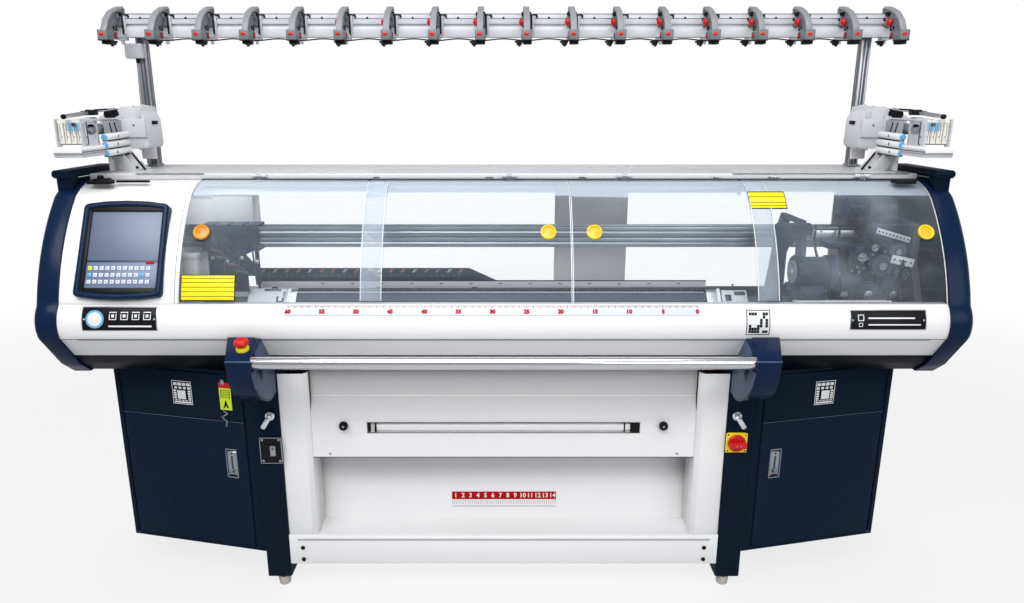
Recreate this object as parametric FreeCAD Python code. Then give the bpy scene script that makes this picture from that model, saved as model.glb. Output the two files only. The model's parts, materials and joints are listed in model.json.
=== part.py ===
import FreeCAD, Part
import math
import os

# Flat knitting machine, millimetres. X runs to the right along the needle beds, Y to the
# rear and Z up. The origin is on the floor, under the middle of the whole machine.

V = FreeCAD.Vector

# ---- overall form ----
HALF_WIDTH = 1400.0        # middle of the machine to the outside of an end cap
CAP_WIDTH = 72.0           # end cap, along X
CAP_WALL = 12.0            # end cap rim and end wall
CAP_EASE = 14.0            # eased outer edge of an end cap
CAP_BOSS = 32.0            # square bosses inside an end cap, on the end frame
CAP_LIP = 6.0              # how far the end caps stand proud of the sheet covers
SHEET = 3.0                # sheet metal covers
SEAM = 1.0                 # gap between neighbouring covers
COVER_X = HALF_WIDTH - CAP_WIDTH

# ---- side outline of the housing: Y and Z of its corners ----
REAR_Y = 425.0
BELLY_Z = 775.0            # flat underside
BELLY_Y = -165.0           # where the underside starts to rise
CHIN_Y, CHIN_Z = -224.0, 819.0
CHEEK_Y, CHEEK_Z = -257.0, 858.0
SEAM_Y, SEAM_Z = -313.0, 925.0       # dark seam between the apron and the lower strip
NOSE_Y, NOSE_Z = -320.0, 972.0       # foremost point of the apron
SILL_Y, SILL_Z = -295.0, 1030.0      # lower edge of the windows
BULGE_Y, BULGE_Z = -239.0, 1170.0
SHOULDER_Y, SHOULDER_Z = -117.0, 1337.0
BROW_Y, BROW_Z = -72.0, 1362.0
TOP_FRONT_Y = -20.0
TOP_Z = 1378.0
TOP_REAR_Y = 340.0
BACK_Z = 1290.0            # top of the upright rear wall

# ---- top deck ----
DECK_THICK = 14.0
DECK_FRONT_Y = -18.0
DECK_REAR_Y = 345.0
DECK_Z = TOP_Z + DECK_THICK

# ---- rear cover ----
REAR_OPEN_X = (229.0 - COVER_X, COVER_X - 71.0)    # outer ends of the rear openings
REAR_COLUMN = (196.0, 474.0)
REAR_SILL_Z = 915.0
REAR_LINTEL_Z = BACK_Z - 6.0

# ---- windows ----
WINDOW_LEFT_X = -(COVER_X - 358.0)
WINDOW_SPLIT_X = 207.0
WINDOW_THICK = 4.0
WINDOW_REAR_Y = -22.0
STRIP_WIDTH = 64.0         # bonded stiffening strip
STRIP_THICK = 4.0
LEFT_STRIP_X = WINDOW_LEFT_X + 575.0
RIGHT_STRIP_X = WINDOW_SPLIT_X + 586.0
STRIP_LOW_Z = SILL_Z + 40.0
STRIP_REAR_Y = -60.0
HINGE_SHARES = (0.16, 0.84)          # places of the hinges along a window
HINGE_Y, HINGE_Z = -25.0, 1386.0
HINGE_R = 5.5
HINGE_PIN_R = 3.0
HINGE_EAR = 16.0
EAR_GAP = 0.5              # between a hinge ear and the next knuckle
LEDGE_REACH = 34.0         # ledge under the windows
KNOB_R = 23.5
KNOB_LENGTH = 14.0
KNOB_SIDES = 24
KNOB_Z = 1229.0
KNOB_INSETS = (56.0, 71.0, 68.0, 50.0)   # knobs to the sides of their windows
RUNNING = 0.05             # radial clearance of a shaft in its hole

# ---- control panel ----
PANEL_X = -(COVER_X - 181.0)
PANEL_WIDTH = 262.0
PANEL_LOW = (-287.0, 1053.0)
PANEL_HIGH = (-155.0, 1305.0)
PANEL_PROUD = 18.0
PANEL_NARROW = 6.0         # how much each side leans in towards the top
PANEL_CORNER = 12.0
PANEL_EASE = 4.0
PANEL_BOW = 9.0            # bow of the bezel's top and bottom edges
SLEEVE_WIDTH = 206.0
SLEEVE_HEIGHT = 232.0
SLEEVE_WALL = 5.0
SLEEVE_DEPTH = 34.0
KEYPAD_SHARE = 74.0        # height of the keypad at the foot of the recess
KEY_ROWS = 3
KEY_PITCH = 20.0
KEY_SIZE = 12.0
KEY_ROW_WIDTH = 182.0

# ---- beam and needle beds ----
BEAM_HALF_DEPTH = 118.0
BED_APEX = 1009.0          # where the planes of the two beds would meet
BED_THICK = 20.0
BED_LENGTH = 150.0         # down the slope
BED_LEFT_X = -(COVER_X - 638.0)
BED_RIGHT_X = COVER_X - 651.0
THROAT = 8.0               # open width between the beds, where the fabric goes down
FABRIC_SLOT = 24.0         # the same way through the beam
GROOVES = 26
GROOVE_SHARE = 0.5         # width of a groove in its pitch
GROOVE_DEPTH = 4.0
END_BLOCK_WIDTH = 46.0
END_BLOCK_RISE = 4.0
STOP_BAR_X = (-(COVER_X - 461.0), BED_LEFT_X + 678.0)
STOP_BAR_Y = 122.0
STOP_BAR_THICK = 12.0
STOP_BAR_TOP = BED_APEX + 41.0
STOP_BAR_HEIGHT = 50.0
STOP_BAR_SLOPE = 108.0     # sloping right end
STOP_FOOT = 20.0

# ---- carriage and its ways ----
ROD_R = 15.0
FRONT_ROD_Y = -150.0
REAR_ROD_Y = 180.0
ROD_Z = 880.0
END_FRAME_THICK = 24.0
END_FRAME_TOP = 1240.0
END_FRAME_WAIST = 1120.0
END_FRAME_FOOT = 930.0
END_FRAME_HALF = 90.0
SEAT_DEPTH = 12.0          # rods and rails go this far into the end frames
RAIL_HEIGHT = 30.0
RAIL_THICK = 10.0
RAIL_GROOVE = 3.0
RAIL_Y = 25.0
RAIL_LOW_Z = 1155.0
RAIL_GAP = 6.0
CARRIAGE_X = COVER_X - 213.0
CARRIAGE_HALF = 170.0
BRIDGE_PLATE = 16.0
BRIDGE_TOP = 1250.0
HORN_REACH = 100.0         # front bracket, left of the carriage's side plate
HORN_Y = (-140.0, -126.0)
HORN_LOW_Z = 998.0
HORN_BAR = 40.0
BRIDGE_HALF = 188.0
CARRIER_COUNT = 4
CARRIER_X = -(COVER_X - 438.0)
CARRIER_PITCH = 48.0

# ---- stand ----
LEG_X = 766.0
LEG_WIDTH = 82.0
LEG_FRONT_Y = -200.0
LEG_REAR_Y = 330.0
FOOT_HEIGHT = 41.0
FOOT_R = 24.0
FOOT_PAD = 13.0
FOOT_FRONT_Y = -172.0
FOOT_REAR_Y = 296.0

# ---- fabric tray, guard and take-down ----
TRAY_FLOOR_Z = 191.0
TRAY_RAIL_Z = 90.0
TRAY_BACK_Y = -70.0
TRAY_TOP = (-20.0, 540.0)
COLUMN_INNER_X = LEG_X - 135.0
COLUMN_FRONT_Y = -192.0
COLUMN_SIDE_Y = -178.0
COLUMN_REAR_Y = -74.0
GUARD_Y = -170.0
GUARD_LOW_Z = 473.0
GUARD_TOP_Z = 774.0
GUARD_SLOT_X = 449.0
GUARD_SLOT_Z = (560.0, 597.0)
GUARD_FOLD_Z = (632.0, 686.0)
GUARD_STEP = 16.0          # how far the upper part stands back
GUARD_FLANGE = 30.0
ROLLER_R = 32.0
PRESS_R = 24.0
ROLLER_GAP = 0.3
ROLLER_Y = 20.0
ROLLER_Z = 690.0
BEARING_X = LEG_X - 121.0
ROLLER_HALF = BEARING_X - 45.0
JOURNAL_R = 12.0
JOURNAL_IN = 24.0          # length of a journal in its bearing

# ---- cabinets ----
CAB_INNER = (LEG_X + LEG_WIDTH / 2, -185.0)    # X and Y of the front inner corner
CAB_OUTER = (HALF_WIDTH - 90.0, -70.0)         # X and Y of the front outer corner
CAB_REAR_Y = 330.0
CAB_LOW_Z = 128.0
CAB_HIGH_Z = 775.0
CAB_WALL = 3.0
CAB_RIM = 12.0             # rim above and below the door
DOOR_FROM = 42.0           # inner frame strip beside the door
DOOR_THICK = 18.0
DOOR_PROUD = 3.0
DOOR_GAP = 2.0
PIVOT_R = 4.0
PIVOT_LENGTH = 7.0
CREASE_Z = 598.0           # line pressed into the door
CREASE_DEPTH = 0.8
HANDLE_PIN_R = 2.0
HANDLE_PIN_DROP = 8.0      # pin below the top of its pocket
LATCH_WIDTH = 33.0
LATCH_HEIGHT = 93.0
LATCH_Z = 448.0
LATCH_ALONG = 100.0        # from the cabinet's inner corner

# ---- operating bar ----
BRACKET_X = LEG_X - 4.0
BRACKET_WIDTH = 70.0
BAR_R = 19.0
BAR_Y = -400.0
BAR_Z = 884.0
BAR_SEAT = 46.0
BAR_WALL = 2.5
BRACKET_TOP = (BAR_Y + 94.0, BAR_Z + 47.0)
BRACKET_WALL = 8.0
STOP_R = 20.0
STOP_COLLAR_R = 19.0
STOP_COLLAR_HIGH = 16.0
STOP_CAP = 14.0
STOP_TRAVEL = 6.0
STOP_STEM_R = 9.0
STOP_SHARE = 0.52          # place of the button along the bracket's sloping face

# ---- switches on the legs ----
SWITCH_X = LEG_X - 8.0
SWITCH_Z = 542.0
SWITCH_SIZE = 67.0
SWITCH_KNOB_R = 28.0
SHAFT_R = 6.0              # shafts of the switch, the catches and the feeder rollers
ROCKER_Z = 515.0
CATCH_X = LEG_X - 15.0
CATCH_Z = 638.0

# ---- yarn stand ----
POST_X = HALF_WIDTH - 157.0
POST_SIZE = 32.0
POST_Y = 276.0
YARN_BAR_LENGTH = 2 * HALF_WIDTH - 180.0
YARN_BAR_HIGH = 1899.0
YARN_BAR_HEIGHT = 74.0
YARN_BAR_LOW = YARN_BAR_HIGH - YARN_BAR_HEIGHT
YARN_BAR_DEPTH = 38.0
UNIT_COUNT = 18
UNIT_PITCH = (YARN_BAR_LENGTH - 36.0) / (UNIT_COUNT - 1)
UNIT_WIDTH = 30.0
UNIT_TOP = YARN_BAR_HIGH + 26.0
UNIT_REACH = 128.0
UNIT_KNOB_R = 13.0

# ---- side feeders ----
FEEDER_X = HALF_WIDTH - 98.0
FEEDER_WIDTH = 84.0
FEEDER_FRONT_Y = -170.0
FEEDER_REAR_Y = POST_Y - POST_SIZE / 2 - 1.0
FEEDER_Z = 1452.0
FEEDER_ROLLER_R = 24.0
FEEDER_ROLLER_Z = 1530.0
LOOP_COUNT = 4


# ---------------------------------------------------------------- helpers
def box(x0, x1, y0, y1, z0, z1):
    return Part.makeBox(x1 - x0, y1 - y0, z1 - z0, V(x0, y0, z0))


def outline(points):
    """A closed wire in the YZ plane. A point given as (mid, end) is the end of an arc."""
    edges = []
    start = points[0]
    last = start
    for item in points[1:]:
        if isinstance(item[0], tuple):
            mid, end = item
            edges.append(Part.Arc(V(0, *last), V(0, *mid), V(0, *end)).toShape())
        else:
            end = item
            edges.append(Part.LineSegment(V(0, *last), V(0, *end)).toShape())
        last = end
    if V(0, *last).distanceToPoint(V(0, *start)) > 1e-6:
        edges.append(Part.LineSegment(V(0, *last), V(0, *start)).toShape())
    return Part.Wire(edges)


def prism(points, x0, x1):
    """The YZ outline given by points, carried along X from x0 to x1."""
    face = Part.Face(outline(points))
    face.translate(V(x0, 0, 0))
    return face.extrude(V(x1 - x0, 0, 0))


def rod_x(radius, x0, x1, y, z):
    return Part.makeCylinder(radius, x1 - x0, V(x0, y, z), V(1, 0, 0))


def rod_y(radius, y0, y1, x, z):
    return Part.makeCylinder(radius, y1 - y0, V(x, y0, z), V(0, 1, 0))


def rod_z(radius, z0, z1, x, y):
    return Part.makeCylinder(radius, z1 - z0, V(x, y, z0), V(0, 0, 1))


def flat_rod(radius, length, base, out, sides):
    """A bar with flat sides, for studs, bosses and small knobs."""
    turn = 2 * math.pi / sides
    corners = [V(radius * math.cos((i + 0.5) * turn), radius * math.sin((i + 0.5) * turn), 0)
               for i in range(sides)]
    bar = Part.Face(Part.makePolygon(corners + corners[:1])).extrude(V(0, 0, length))
    bar.Placement = FreeCAD.Placement(base, FreeCAD.Rotation(V(0, 0, 1), out))
    return bar


def join(shapes):
    first, rest = shapes[0], shapes[1:]
    whole = first.fuse(rest) if rest else first
    return whole.removeSplitter()


def mirrored(shape):
    return shape.mirror(V(0, 0, 0), V(1, 0, 0))


def both(shape):
    return Part.makeCompound([shape, mirrored(shape)])


def save(node, shape):
    shape.exportStep("parts/" + node + ".step")
    print(node, "solids", len(shape.Solids), "volume", round(shape.Volume / 1e6, 3), "l")


# ---------------------------------------------------------------- housing
HOUSING = [
    (REAR_Y, BELLY_Z), (BELLY_Y, BELLY_Z), (CHIN_Y, CHIN_Z), (CHEEK_Y, CHEEK_Z),
    (SEAM_Y, SEAM_Z), ((NOSE_Y, NOSE_Z), (SILL_Y, SILL_Z)),
    ((BULGE_Y, BULGE_Z), (SHOULDER_Y, SHOULDER_Z)),
    ((BROW_Y, BROW_Z), (TOP_FRONT_Y, TOP_Z)), (TOP_REAR_Y, TOP_Z), (REAR_Y, BACK_Z),
]


def housing(inset, x0, x1):
    """The body that the housing's outline encloses, drawn in by inset."""
    wire = outline(HOUSING)
    if inset:
        wire = wire.makeOffset2D(-inset, 2, False, False)
    face = Part.Face(wire)
    face.translate(V(x0, 0, 0))
    return face.extrude(V(x1 - x0, 0, 0))


def skin(x0, x1, y0, y1, z0, z1, inset=CAP_LIP, thick=SHEET):
    """A sheet that follows the housing's outline inside the given box."""
    shell = housing(inset, x0, x1).cut(housing(inset + thick, x0 - 1, x1 + 1))
    return shell.common(box(x0, x1, y0, y1, z0, z1))


def end_cap():
    """Right-hand end cap: a moulded pan with an eased outer edge and four bosses."""
    body = housing(0, COVER_X, HALF_WIDTH - CAP_EASE)
    outer = outline(HOUSING)
    inner = outer.makeOffset2D(-CAP_EASE, 2, False, False)
    outer.translate(V(HALF_WIDTH - CAP_EASE, 0, 0))
    inner.translate(V(HALF_WIDTH, 0, 0))
    body = join([body, Part.makeLoft([outer, inner], True, True)])
    body = body.cut(housing(CAP_WALL, COVER_X - 1, HALF_WIDTH - CAP_WALL))
    half = CAP_BOSS / 2
    spots = [(y, BELLY_Z + 75) for y in (-110.0, 110.0)]
    spots += [(y, END_FRAME_TOP - 70) for y in (-60.0, 60.0)]
    bosses = [box(COVER_X, HALF_WIDTH - CAP_WALL + 2, y - half, y + half, z - half, z + half)
              for y, z in spots]
    return join([body] + bosses)


def grab_rail():
    """Right-hand grab rail on top of the end cap: a flat grip on two short necks."""
    x0, x1 = COVER_X + 4, HALF_WIDTH - 6
    grip = box(x0, x1, SHOULDER_Y + 2, 170, TOP_Z + 8, TOP_Z + 32)
    long_edges = [e for e in grip.Edges if e.Length > 200]
    grip = grip.makeChamfer(7, long_edges)
    neck = box(x0 + 8, x1 - 8, SHOULDER_Y + 12, SHOULDER_Y + 52, SHOULDER_Z - 10, TOP_Z + 12)
    rear_neck = box(x0 + 8, x1 - 8, 110, 150, TOP_Z - 2, TOP_Z + 12)
    rail = join([grip, neck, rear_neck])
    return rail.cut(housing(0, COVER_X, HALF_WIDTH))


# ---------------------------------------------------------------- control panel
PANEL_RISE = (PANEL_HIGH[0] - PANEL_LOW[0], PANEL_HIGH[1] - PANEL_LOW[1])
PANEL_HEIGHT = math.hypot(*PANEL_RISE)
PANEL_TILT = math.degrees(math.atan2(PANEL_RISE[1], PANEL_RISE[0]))
PANEL_PLACE = FreeCAD.Placement(
    V(PANEL_X, (PANEL_LOW[0] + PANEL_HIGH[0]) / 2, (PANEL_LOW[1] + PANEL_HIGH[1]) / 2),
    FreeCAD.Rotation(V(1, 0, 0), PANEL_TILT))


def on_panel(shape):
    """Places a shape drawn on the panel: X across, Y up the slope, Z out of it."""
    placed = shape.copy()
    placed.Placement = PANEL_PLACE.multiply(placed.Placement)
    return placed


def panel_block(width, height, low, high, shift=0.0):
    return box(-width / 2, width / 2, shift - height / 2, shift + height / 2, low, high)


def bezel():
    """The bezel: bowed top and bottom edges, and a sleeve that goes into the cover."""
    w, h, b = PANEL_WIDTH / 2, PANEL_HEIGHT / 2, PANEL_BOW
    narrow = PANEL_NARROW
    edges = [
        Part.Arc(V(-w, -h + b, 0), V(0, -h, 0), V(w, -h + b, 0)).toShape(),
        Part.LineSegment(V(w, -h + b, 0), V(w - narrow, h - b, 0)).toShape(),
        Part.Arc(V(w - narrow, h - b, 0), V(0, h, 0), V(-w + narrow, h - b, 0)).toShape(),
        Part.LineSegment(V(-w + narrow, h - b, 0), V(-w, -h + b, 0)).toShape(),
    ]
    plate = Part.Face(Part.Wire(edges)).extrude(V(0, 0, PANEL_PROUD + SLEEVE_DEPTH))
    plate.translate(V(0, 0, -SLEEVE_DEPTH))
    corners = [e for e in plate.Edges if abs(e.Length - PANEL_PROUD - SLEEVE_DEPTH) < 0.01]
    plate = plate.makeChamfer(PANEL_CORNER, corners)
    front = [e for e in plate.Edges if e.BoundBox.ZMin > PANEL_PROUD - 0.01]
    plate = plate.makeChamfer(PANEL_EASE, front)
    plate = on_panel(plate).cut(housing(CAP_LIP, -COVER_X, WINDOW_LEFT_X))
    sleeve = on_panel(panel_block(SLEEVE_WIDTH, SLEEVE_HEIGHT, -SLEEVE_DEPTH, PANEL_PROUD - 8))
    recess = on_panel(panel_block(SLEEVE_WIDTH - 2 * SLEEVE_WALL, SLEEVE_HEIGHT - 2 * SLEEVE_WALL,
                                  -SLEEVE_DEPTH - 1, PANEL_PROUD + 1))
    return join([plate, sleeve]).cut(recess)


RECESS_W = SLEEVE_WIDTH - 2 * SLEEVE_WALL
RECESS_H = SLEEVE_HEIGHT - 2 * SLEEVE_WALL
PANEL_DEEP = -SLEEVE_DEPTH
PANEL_FACE = PANEL_DEEP + 14.0


def operator_panel():
    """The display over its membrane keypad, which together fill the bezel's sleeve."""
    screen = panel_block(RECESS_W, RECESS_H - KEYPAD_SHARE, PANEL_DEEP, PANEL_FACE,
                         KEYPAD_SHARE / 2)
    middle = (KEYPAD_SHARE - RECESS_H) / 2
    parts = [screen, panel_block(RECESS_W, KEYPAD_SHARE, PANEL_DEEP, PANEL_FACE - 1, middle)]
    for row in range(KEY_ROWS):
        shift = middle + (row - (KEY_ROWS - 1) / 2) * KEY_PITCH
        parts.append(panel_block(KEY_ROW_WIDTH, KEY_SIZE, PANEL_FACE - 1.5, PANEL_FACE + 0.5,
                                 shift))
    return on_panel(join(parts))


def control_cover():
    cover = skin(-COVER_X, WINDOW_LEFT_X - SEAM, -400, WINDOW_REAR_Y, SILL_Z + SEAM, TOP_Z)
    opening = on_panel(panel_block(SLEEVE_WIDTH, SLEEVE_HEIGHT, -80, 60))
    return cover.cut(opening)


# ---------------------------------------------------------------- covers
def front_apron():
    """Upper front cover, with a ledge on which the windows rest."""
    sheet = skin(-COVER_X, COVER_X, -400, 0, SEAM_Z + SEAM, SILL_Z)
    ledge = box(-COVER_X, COVER_X, SILL_Y + CAP_LIP + 1, SILL_Y + LEDGE_REACH,
                SILL_Z - SHEET, SILL_Z)
    return join([sheet, ledge])


def lower_strip():
    return skin(-COVER_X, COVER_X, -400, 0, CHEEK_Z - 2, SEAM_Z - 2 * SEAM)


def underside_trim():
    return skin(-COVER_X, COVER_X, -400, -BEAM_HALF_DEPTH - 1, BELLY_Z, CHEEK_Z - 2 - SEAM)


def window_hinge_places():
    """X of the two hinges of each window."""
    left = (WINDOW_LEFT_X, WINDOW_SPLIT_X)
    right = (WINDOW_SPLIT_X, COVER_X)
    return [[a + (b - a) * share for share in HINGE_SHARES] for a, b in (left, right)]


def hinge_ear():
    """Y and Z of an ear on the deck's front edge, round enough for the window to pass."""
    y, z, r = HINGE_Y, HINGE_Z, HINGE_R
    return [(y - r, z - r * 0.4), (y - r, z + r * 0.4), (y - r * 0.4, z + r),
            (DECK_FRONT_Y + 1, z + r), (DECK_FRONT_Y + 1, z - r), (y - r * 0.4, z - r)]


def top_deck():
    """The deck: a pan with a folded edge, the windows' hinge ears and their pins."""
    pan = box(-COVER_X, COVER_X, DECK_FRONT_Y, DECK_REAR_Y, TOP_Z - CAP_LIP, DECK_Z)
    pan = pan.makeChamfer(4, [e for e in pan.Edges
                              if e.BoundBox.ZMin > DECK_Z - 0.01 and e.Length > 1000])
    hollow = box(-COVER_X + SHEET, COVER_X - SHEET, DECK_FRONT_Y + SHEET,
                 DECK_REAR_Y - SHEET, TOP_Z - CAP_LIP - 1, DECK_Z - SHEET)
    parts = [pan.cut(hollow)]
    for places in window_hinge_places():
        for x in places:
            for side in (-1, 1):
                x0 = x + side * HINGE_EAR - HINGE_EAR / 2 + EAR_GAP
                parts.append(prism(hinge_ear(), x0, x0 + HINGE_EAR - 2 * EAR_GAP))
            parts.append(rod_x(HINGE_PIN_R, x - HINGE_EAR, x + HINGE_EAR, HINGE_Y, HINGE_Z))
    return join(parts)


def rear_cover():
    """Rear cover with two wide openings beside a middle column, in welded bands."""
    sheet = skin(-COVER_X, COVER_X, DECK_REAR_Y - 40, REAR_Y, BELLY_Z, TOP_Z - CAP_LIP)
    columns = ((-COVER_X, REAR_OPEN_X[0]), REAR_COLUMN, (REAR_OPEN_X[1], COVER_X))
    bands = [sheet.common(box(-HALF_WIDTH, HALF_WIDTH, 0, REAR_Y + 5, REAR_LINTEL_Z, TOP_Z + 5)),
             sheet.common(box(-HALF_WIDTH, HALF_WIDTH, 0, REAR_Y + 5, BELLY_Z - 5, REAR_SILL_Z))]
    bands += [sheet.common(box(x0, x1, REAR_Y - 40, REAR_Y + 5, REAR_SILL_Z, REAR_LINTEL_Z))
              for x0, x1 in columns]
    return Part.makeCompound(bands)


def window(x0, x1, strip_x, hinge_places):
    """A clear curved cover with its bonded strip and its hinge knuckles."""
    pane = skin(x0 + SEAM, x1 - SEAM, -400, WINDOW_REAR_Y, SILL_Z + SEAM, TOP_Z,
                CAP_LIP, WINDOW_THICK)
    strip = skin(strip_x - STRIP_WIDTH / 2, strip_x + STRIP_WIDTH / 2, -400, STRIP_REAR_Y,
                 STRIP_LOW_Z, TOP_Z, CAP_LIP + WINDOW_THICK, STRIP_THICK)
    half = HINGE_EAR / 2 - EAR_GAP
    y, z, r = HINGE_Y, HINGE_Z, HINGE_R
    foot = TOP_Z - CAP_LIP - WINDOW_THICK
    knuckle = [(y - r, foot), (y - r, z + r * 0.4), (y - r * 0.4, z + r), (y + r * 0.4, z + r),
               (y + r, z + r * 0.4), (y + r, z - r * 0.4), (y + r * 0.4, z - r), (y, foot)]
    knuckles = [prism(knuckle, x - half, x + half) for x in hinge_places]
    cover = join([pane, strip] + knuckles)
    for x in hinge_places:
        cover = cover.cut(rod_x(HINGE_PIN_R + RUNNING, x - HINGE_EAR, x + HINGE_EAR,
                                HINGE_Y, HINGE_Z))
    return cover


def cover_point(z):
    """Y and the outward direction of the cover's outer face at height z."""
    section = housing(CAP_LIP, 0, 1).common(box(0, 1, -400, 0, z - 2, z + 2))
    low = min(v.Point.y for v in section.Vertexes if v.Point.z < z)
    high = min(v.Point.y for v in section.Vertexes if v.Point.z > z)
    along = V(0, high - low, 4).normalize()
    return (low + high) / 2, V(0, -along.z, along.y)


def window_knob(x):
    """A round push knob standing on the cover."""
    y, out = cover_point(KNOB_Z)
    base = V(x, y, KNOB_Z)
    stem = flat_rod(KNOB_R - 7, 6, base, out, KNOB_SIDES)
    head = flat_rod(KNOB_R, KNOB_LENGTH - 8, base + out * 5, out, KNOB_SIDES)
    tip = flat_rod(KNOB_R - 3, KNOB_LENGTH - 5, base + out * 5, out, KNOB_SIDES)
    return join([stem, head, tip]).cut(housing(CAP_LIP, x - 60, x + 60))


# ---------------------------------------------------------------- beds
def bed_point(s, n):
    """Y and Z on the front bed: s down the slope from the apex, n out of the bed."""
    r = math.sqrt(0.5)
    return (-r * s - r * n, BED_APEX - r * s + r * n)


def front_bed():
    """Needle bed: a grooved plate with a raised retaining bar across the grooves."""
    profile = [bed_point(-BED_THICK, -BED_THICK), bed_point(-BED_THICK, 0),
               bed_point(BED_LENGTH, 0), bed_point(BED_LENGTH, -BED_THICK)]
    plate = prism(profile, BED_LEFT_X, BED_RIGHT_X)
    plate = plate.cut(box(BED_LEFT_X - 1, BED_RIGHT_X + 1, -THROAT / 2, 60, 900, 1100))
    pitch = (BED_RIGHT_X - BED_LEFT_X) / GROOVES
    cuts = []
    for i in range(GROOVES):
        x = BED_LEFT_X + (i + 0.5) * pitch
        groove = [bed_point(-BED_THICK, -GROOVE_DEPTH), bed_point(-BED_THICK, 5),
                  bed_point(BED_LENGTH + 1, 5), bed_point(BED_LENGTH + 1, -GROOVE_DEPTH)]
        half = pitch * GROOVE_SHARE / 2
        cuts.append(prism(groove, x - half, x + half))
    plate = plate.cut(cuts)
    bar = prism([bed_point(52, -GROOVE_DEPTH - 0.5), bed_point(52, 5), bed_point(70, 5),
                 bed_point(70, -GROOVE_DEPTH - 0.5)], BED_LEFT_X, BED_RIGHT_X)
    return join([plate, bar])


def rear_bed():
    return front_bed().mirror(V(0, 0, 0), V(0, 1, 0))


def stop_bar():
    """A marked bar behind the rear bed, with a sloping right end, on feet on the beam."""
    x0, x1 = STOP_BAR_X
    y0, y1 = STOP_BAR_Y, STOP_BAR_Y + STOP_BAR_THICK
    low, high = STOP_BAR_TOP - STOP_BAR_HEIGHT, STOP_BAR_TOP
    corners = [V(x0, y0, low), V(x1, y0, low), V(x1 - STOP_BAR_SLOPE, y0, high), V(x0, y0, high)]
    bar = Part.Face(Part.makePolygon(corners + corners[:1])).extrude(V(0, y1 - y0, 0))
    feet = []
    half = STOP_FOOT / 2
    foot_z = BELLY_Z + STOP_FOOT
    for x in (x0 + 3 * STOP_FOOT, (x0 + x1) / 2, x1 - 4.5 * STOP_FOOT):
        feet.append(box(x - half, x + half, y0, y1, foot_z, low + 5))
        feet.append(box(x - half, x + half, BEAM_HALF_DEPTH, y1, foot_z, foot_z + 1.5 * STOP_FOOT))
    return join([bar] + feet)


def main_beam():
    """The beam under the beds: a roof-shaped section with the fabric's way through it."""
    drop = BED_APEX - BED_THICK * math.sqrt(2)
    half = BEAM_HALF_DEPTH
    low = BELLY_Z + CAP_LIP
    beam = prism([(-half, low), (-half, drop - half), (0, drop), (half, drop - half),
                  (half, low)], -COVER_X + END_FRAME_THICK, COVER_X - END_FRAME_THICK)
    slot = box(BED_LEFT_X, BED_RIGHT_X, -FABRIC_SLOT / 2, FABRIC_SLOT / 2, low - 1, drop + 1)
    return beam.cut(slot)


def end_blocks():
    """Blocks that close the beds at both ends."""
    drop = BED_THICK * math.sqrt(2)
    top = BED_APEX + END_BLOCK_RISE * math.sqrt(2)
    reach = BEAM_HALF_DEPTH - 6
    profile = [(-reach, BED_APEX - drop - reach), (0, BED_APEX - drop),
               (reach, BED_APEX - drop - reach), (reach, top - reach), (14, top - 14),
               (-14, top - 14), (-reach, top - reach)]
    left = prism(profile, BED_LEFT_X - END_BLOCK_WIDTH, BED_LEFT_X)
    right = prism(profile, BED_RIGHT_X, BED_RIGHT_X + END_BLOCK_WIDTH)
    return Part.makeCompound([left, right])


def end_frame():
    """Right-hand end frame: it carries the beam, the guide rods and the yarn rails."""
    low = BELLY_Z + CAP_LIP
    x0, x1 = COVER_X - END_FRAME_THICK, COVER_X
    front, rear = FRONT_ROD_Y - 40, REAR_ROD_Y + 40
    half, waist, foot = END_FRAME_HALF, END_FRAME_WAIST, END_FRAME_FOOT
    plate = prism([(front, low), (front, foot), (-half, waist), (-half, END_FRAME_TOP),
                   (half, END_FRAME_TOP), (half, waist), (rear, foot), (rear, low)], x0, x1)
    for y in (FRONT_ROD_Y, REAR_ROD_Y):
        plate = plate.cut(rod_x(ROD_R, x0 - 1, x0 + SEAT_DEPTH, y, ROD_Z))
    for y, z in rail_places():
        plate = plate.cut(box(x0 - 1, x0 + SEAT_DEPTH, y - RAIL_THICK / 2, y + RAIL_THICK / 2,
                              z, z + RAIL_HEIGHT))
    return plate.common(housing(CAP_LIP + SHEET + SEAM, x0 - 1, x1 + 1))


def rail_places():
    """Y of the middle and Z of the foot of each yarn rail."""
    upper = RAIL_LOW_Z + RAIL_HEIGHT + RAIL_GAP
    return [(y, z) for y in (-RAIL_Y, RAIL_Y) for z in (RAIL_LOW_Z, upper)]


def yarn_rails():
    """Four aluminium rails with a V groove along each side."""
    reach = COVER_X - END_FRAME_THICK + SEAT_DEPTH
    rails = []
    for y, z in rail_places():
        t, h, v = RAIL_THICK / 2, RAIL_HEIGHT, RAIL_GROOVE
        rails.append(prism([(y - t, z), (y + t, z), (y + t, z + h / 2 - v), (y + t - v, z + h / 2),
                            (y + t, z + h / 2 + v), (y + t, z + h), (y - t, z + h),
                            (y - t, z + h / 2 + v), (y - t + v, z + h / 2),
                            (y - t, z + h / 2 - v)], -reach, reach))
    return Part.makeCompound(rails)


def guide_rods():
    reach = COVER_X - END_FRAME_THICK + SEAT_DEPTH
    return Part.makeCompound([rod_x(ROD_R, -reach, reach, y, ROD_Z)
                              for y in (FRONT_ROD_Y, REAR_ROD_Y)])


# ---------------------------------------------------------------- carriage
TUNNEL_Y = 56.0            # half width of the free way round the yarn rails
TUNNEL_TOP = RAIL_LOW_Z + 2 * RAIL_HEIGHT + RAIL_GAP + 14.0
BRIDGE_REACH = 36.0        # carriage plates beyond the middle of each rod
SKIRT_DROP = 24.0          # carriage below the middle of the rods
BAR_WAY = 8.0              # free way round the stop bar


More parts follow.
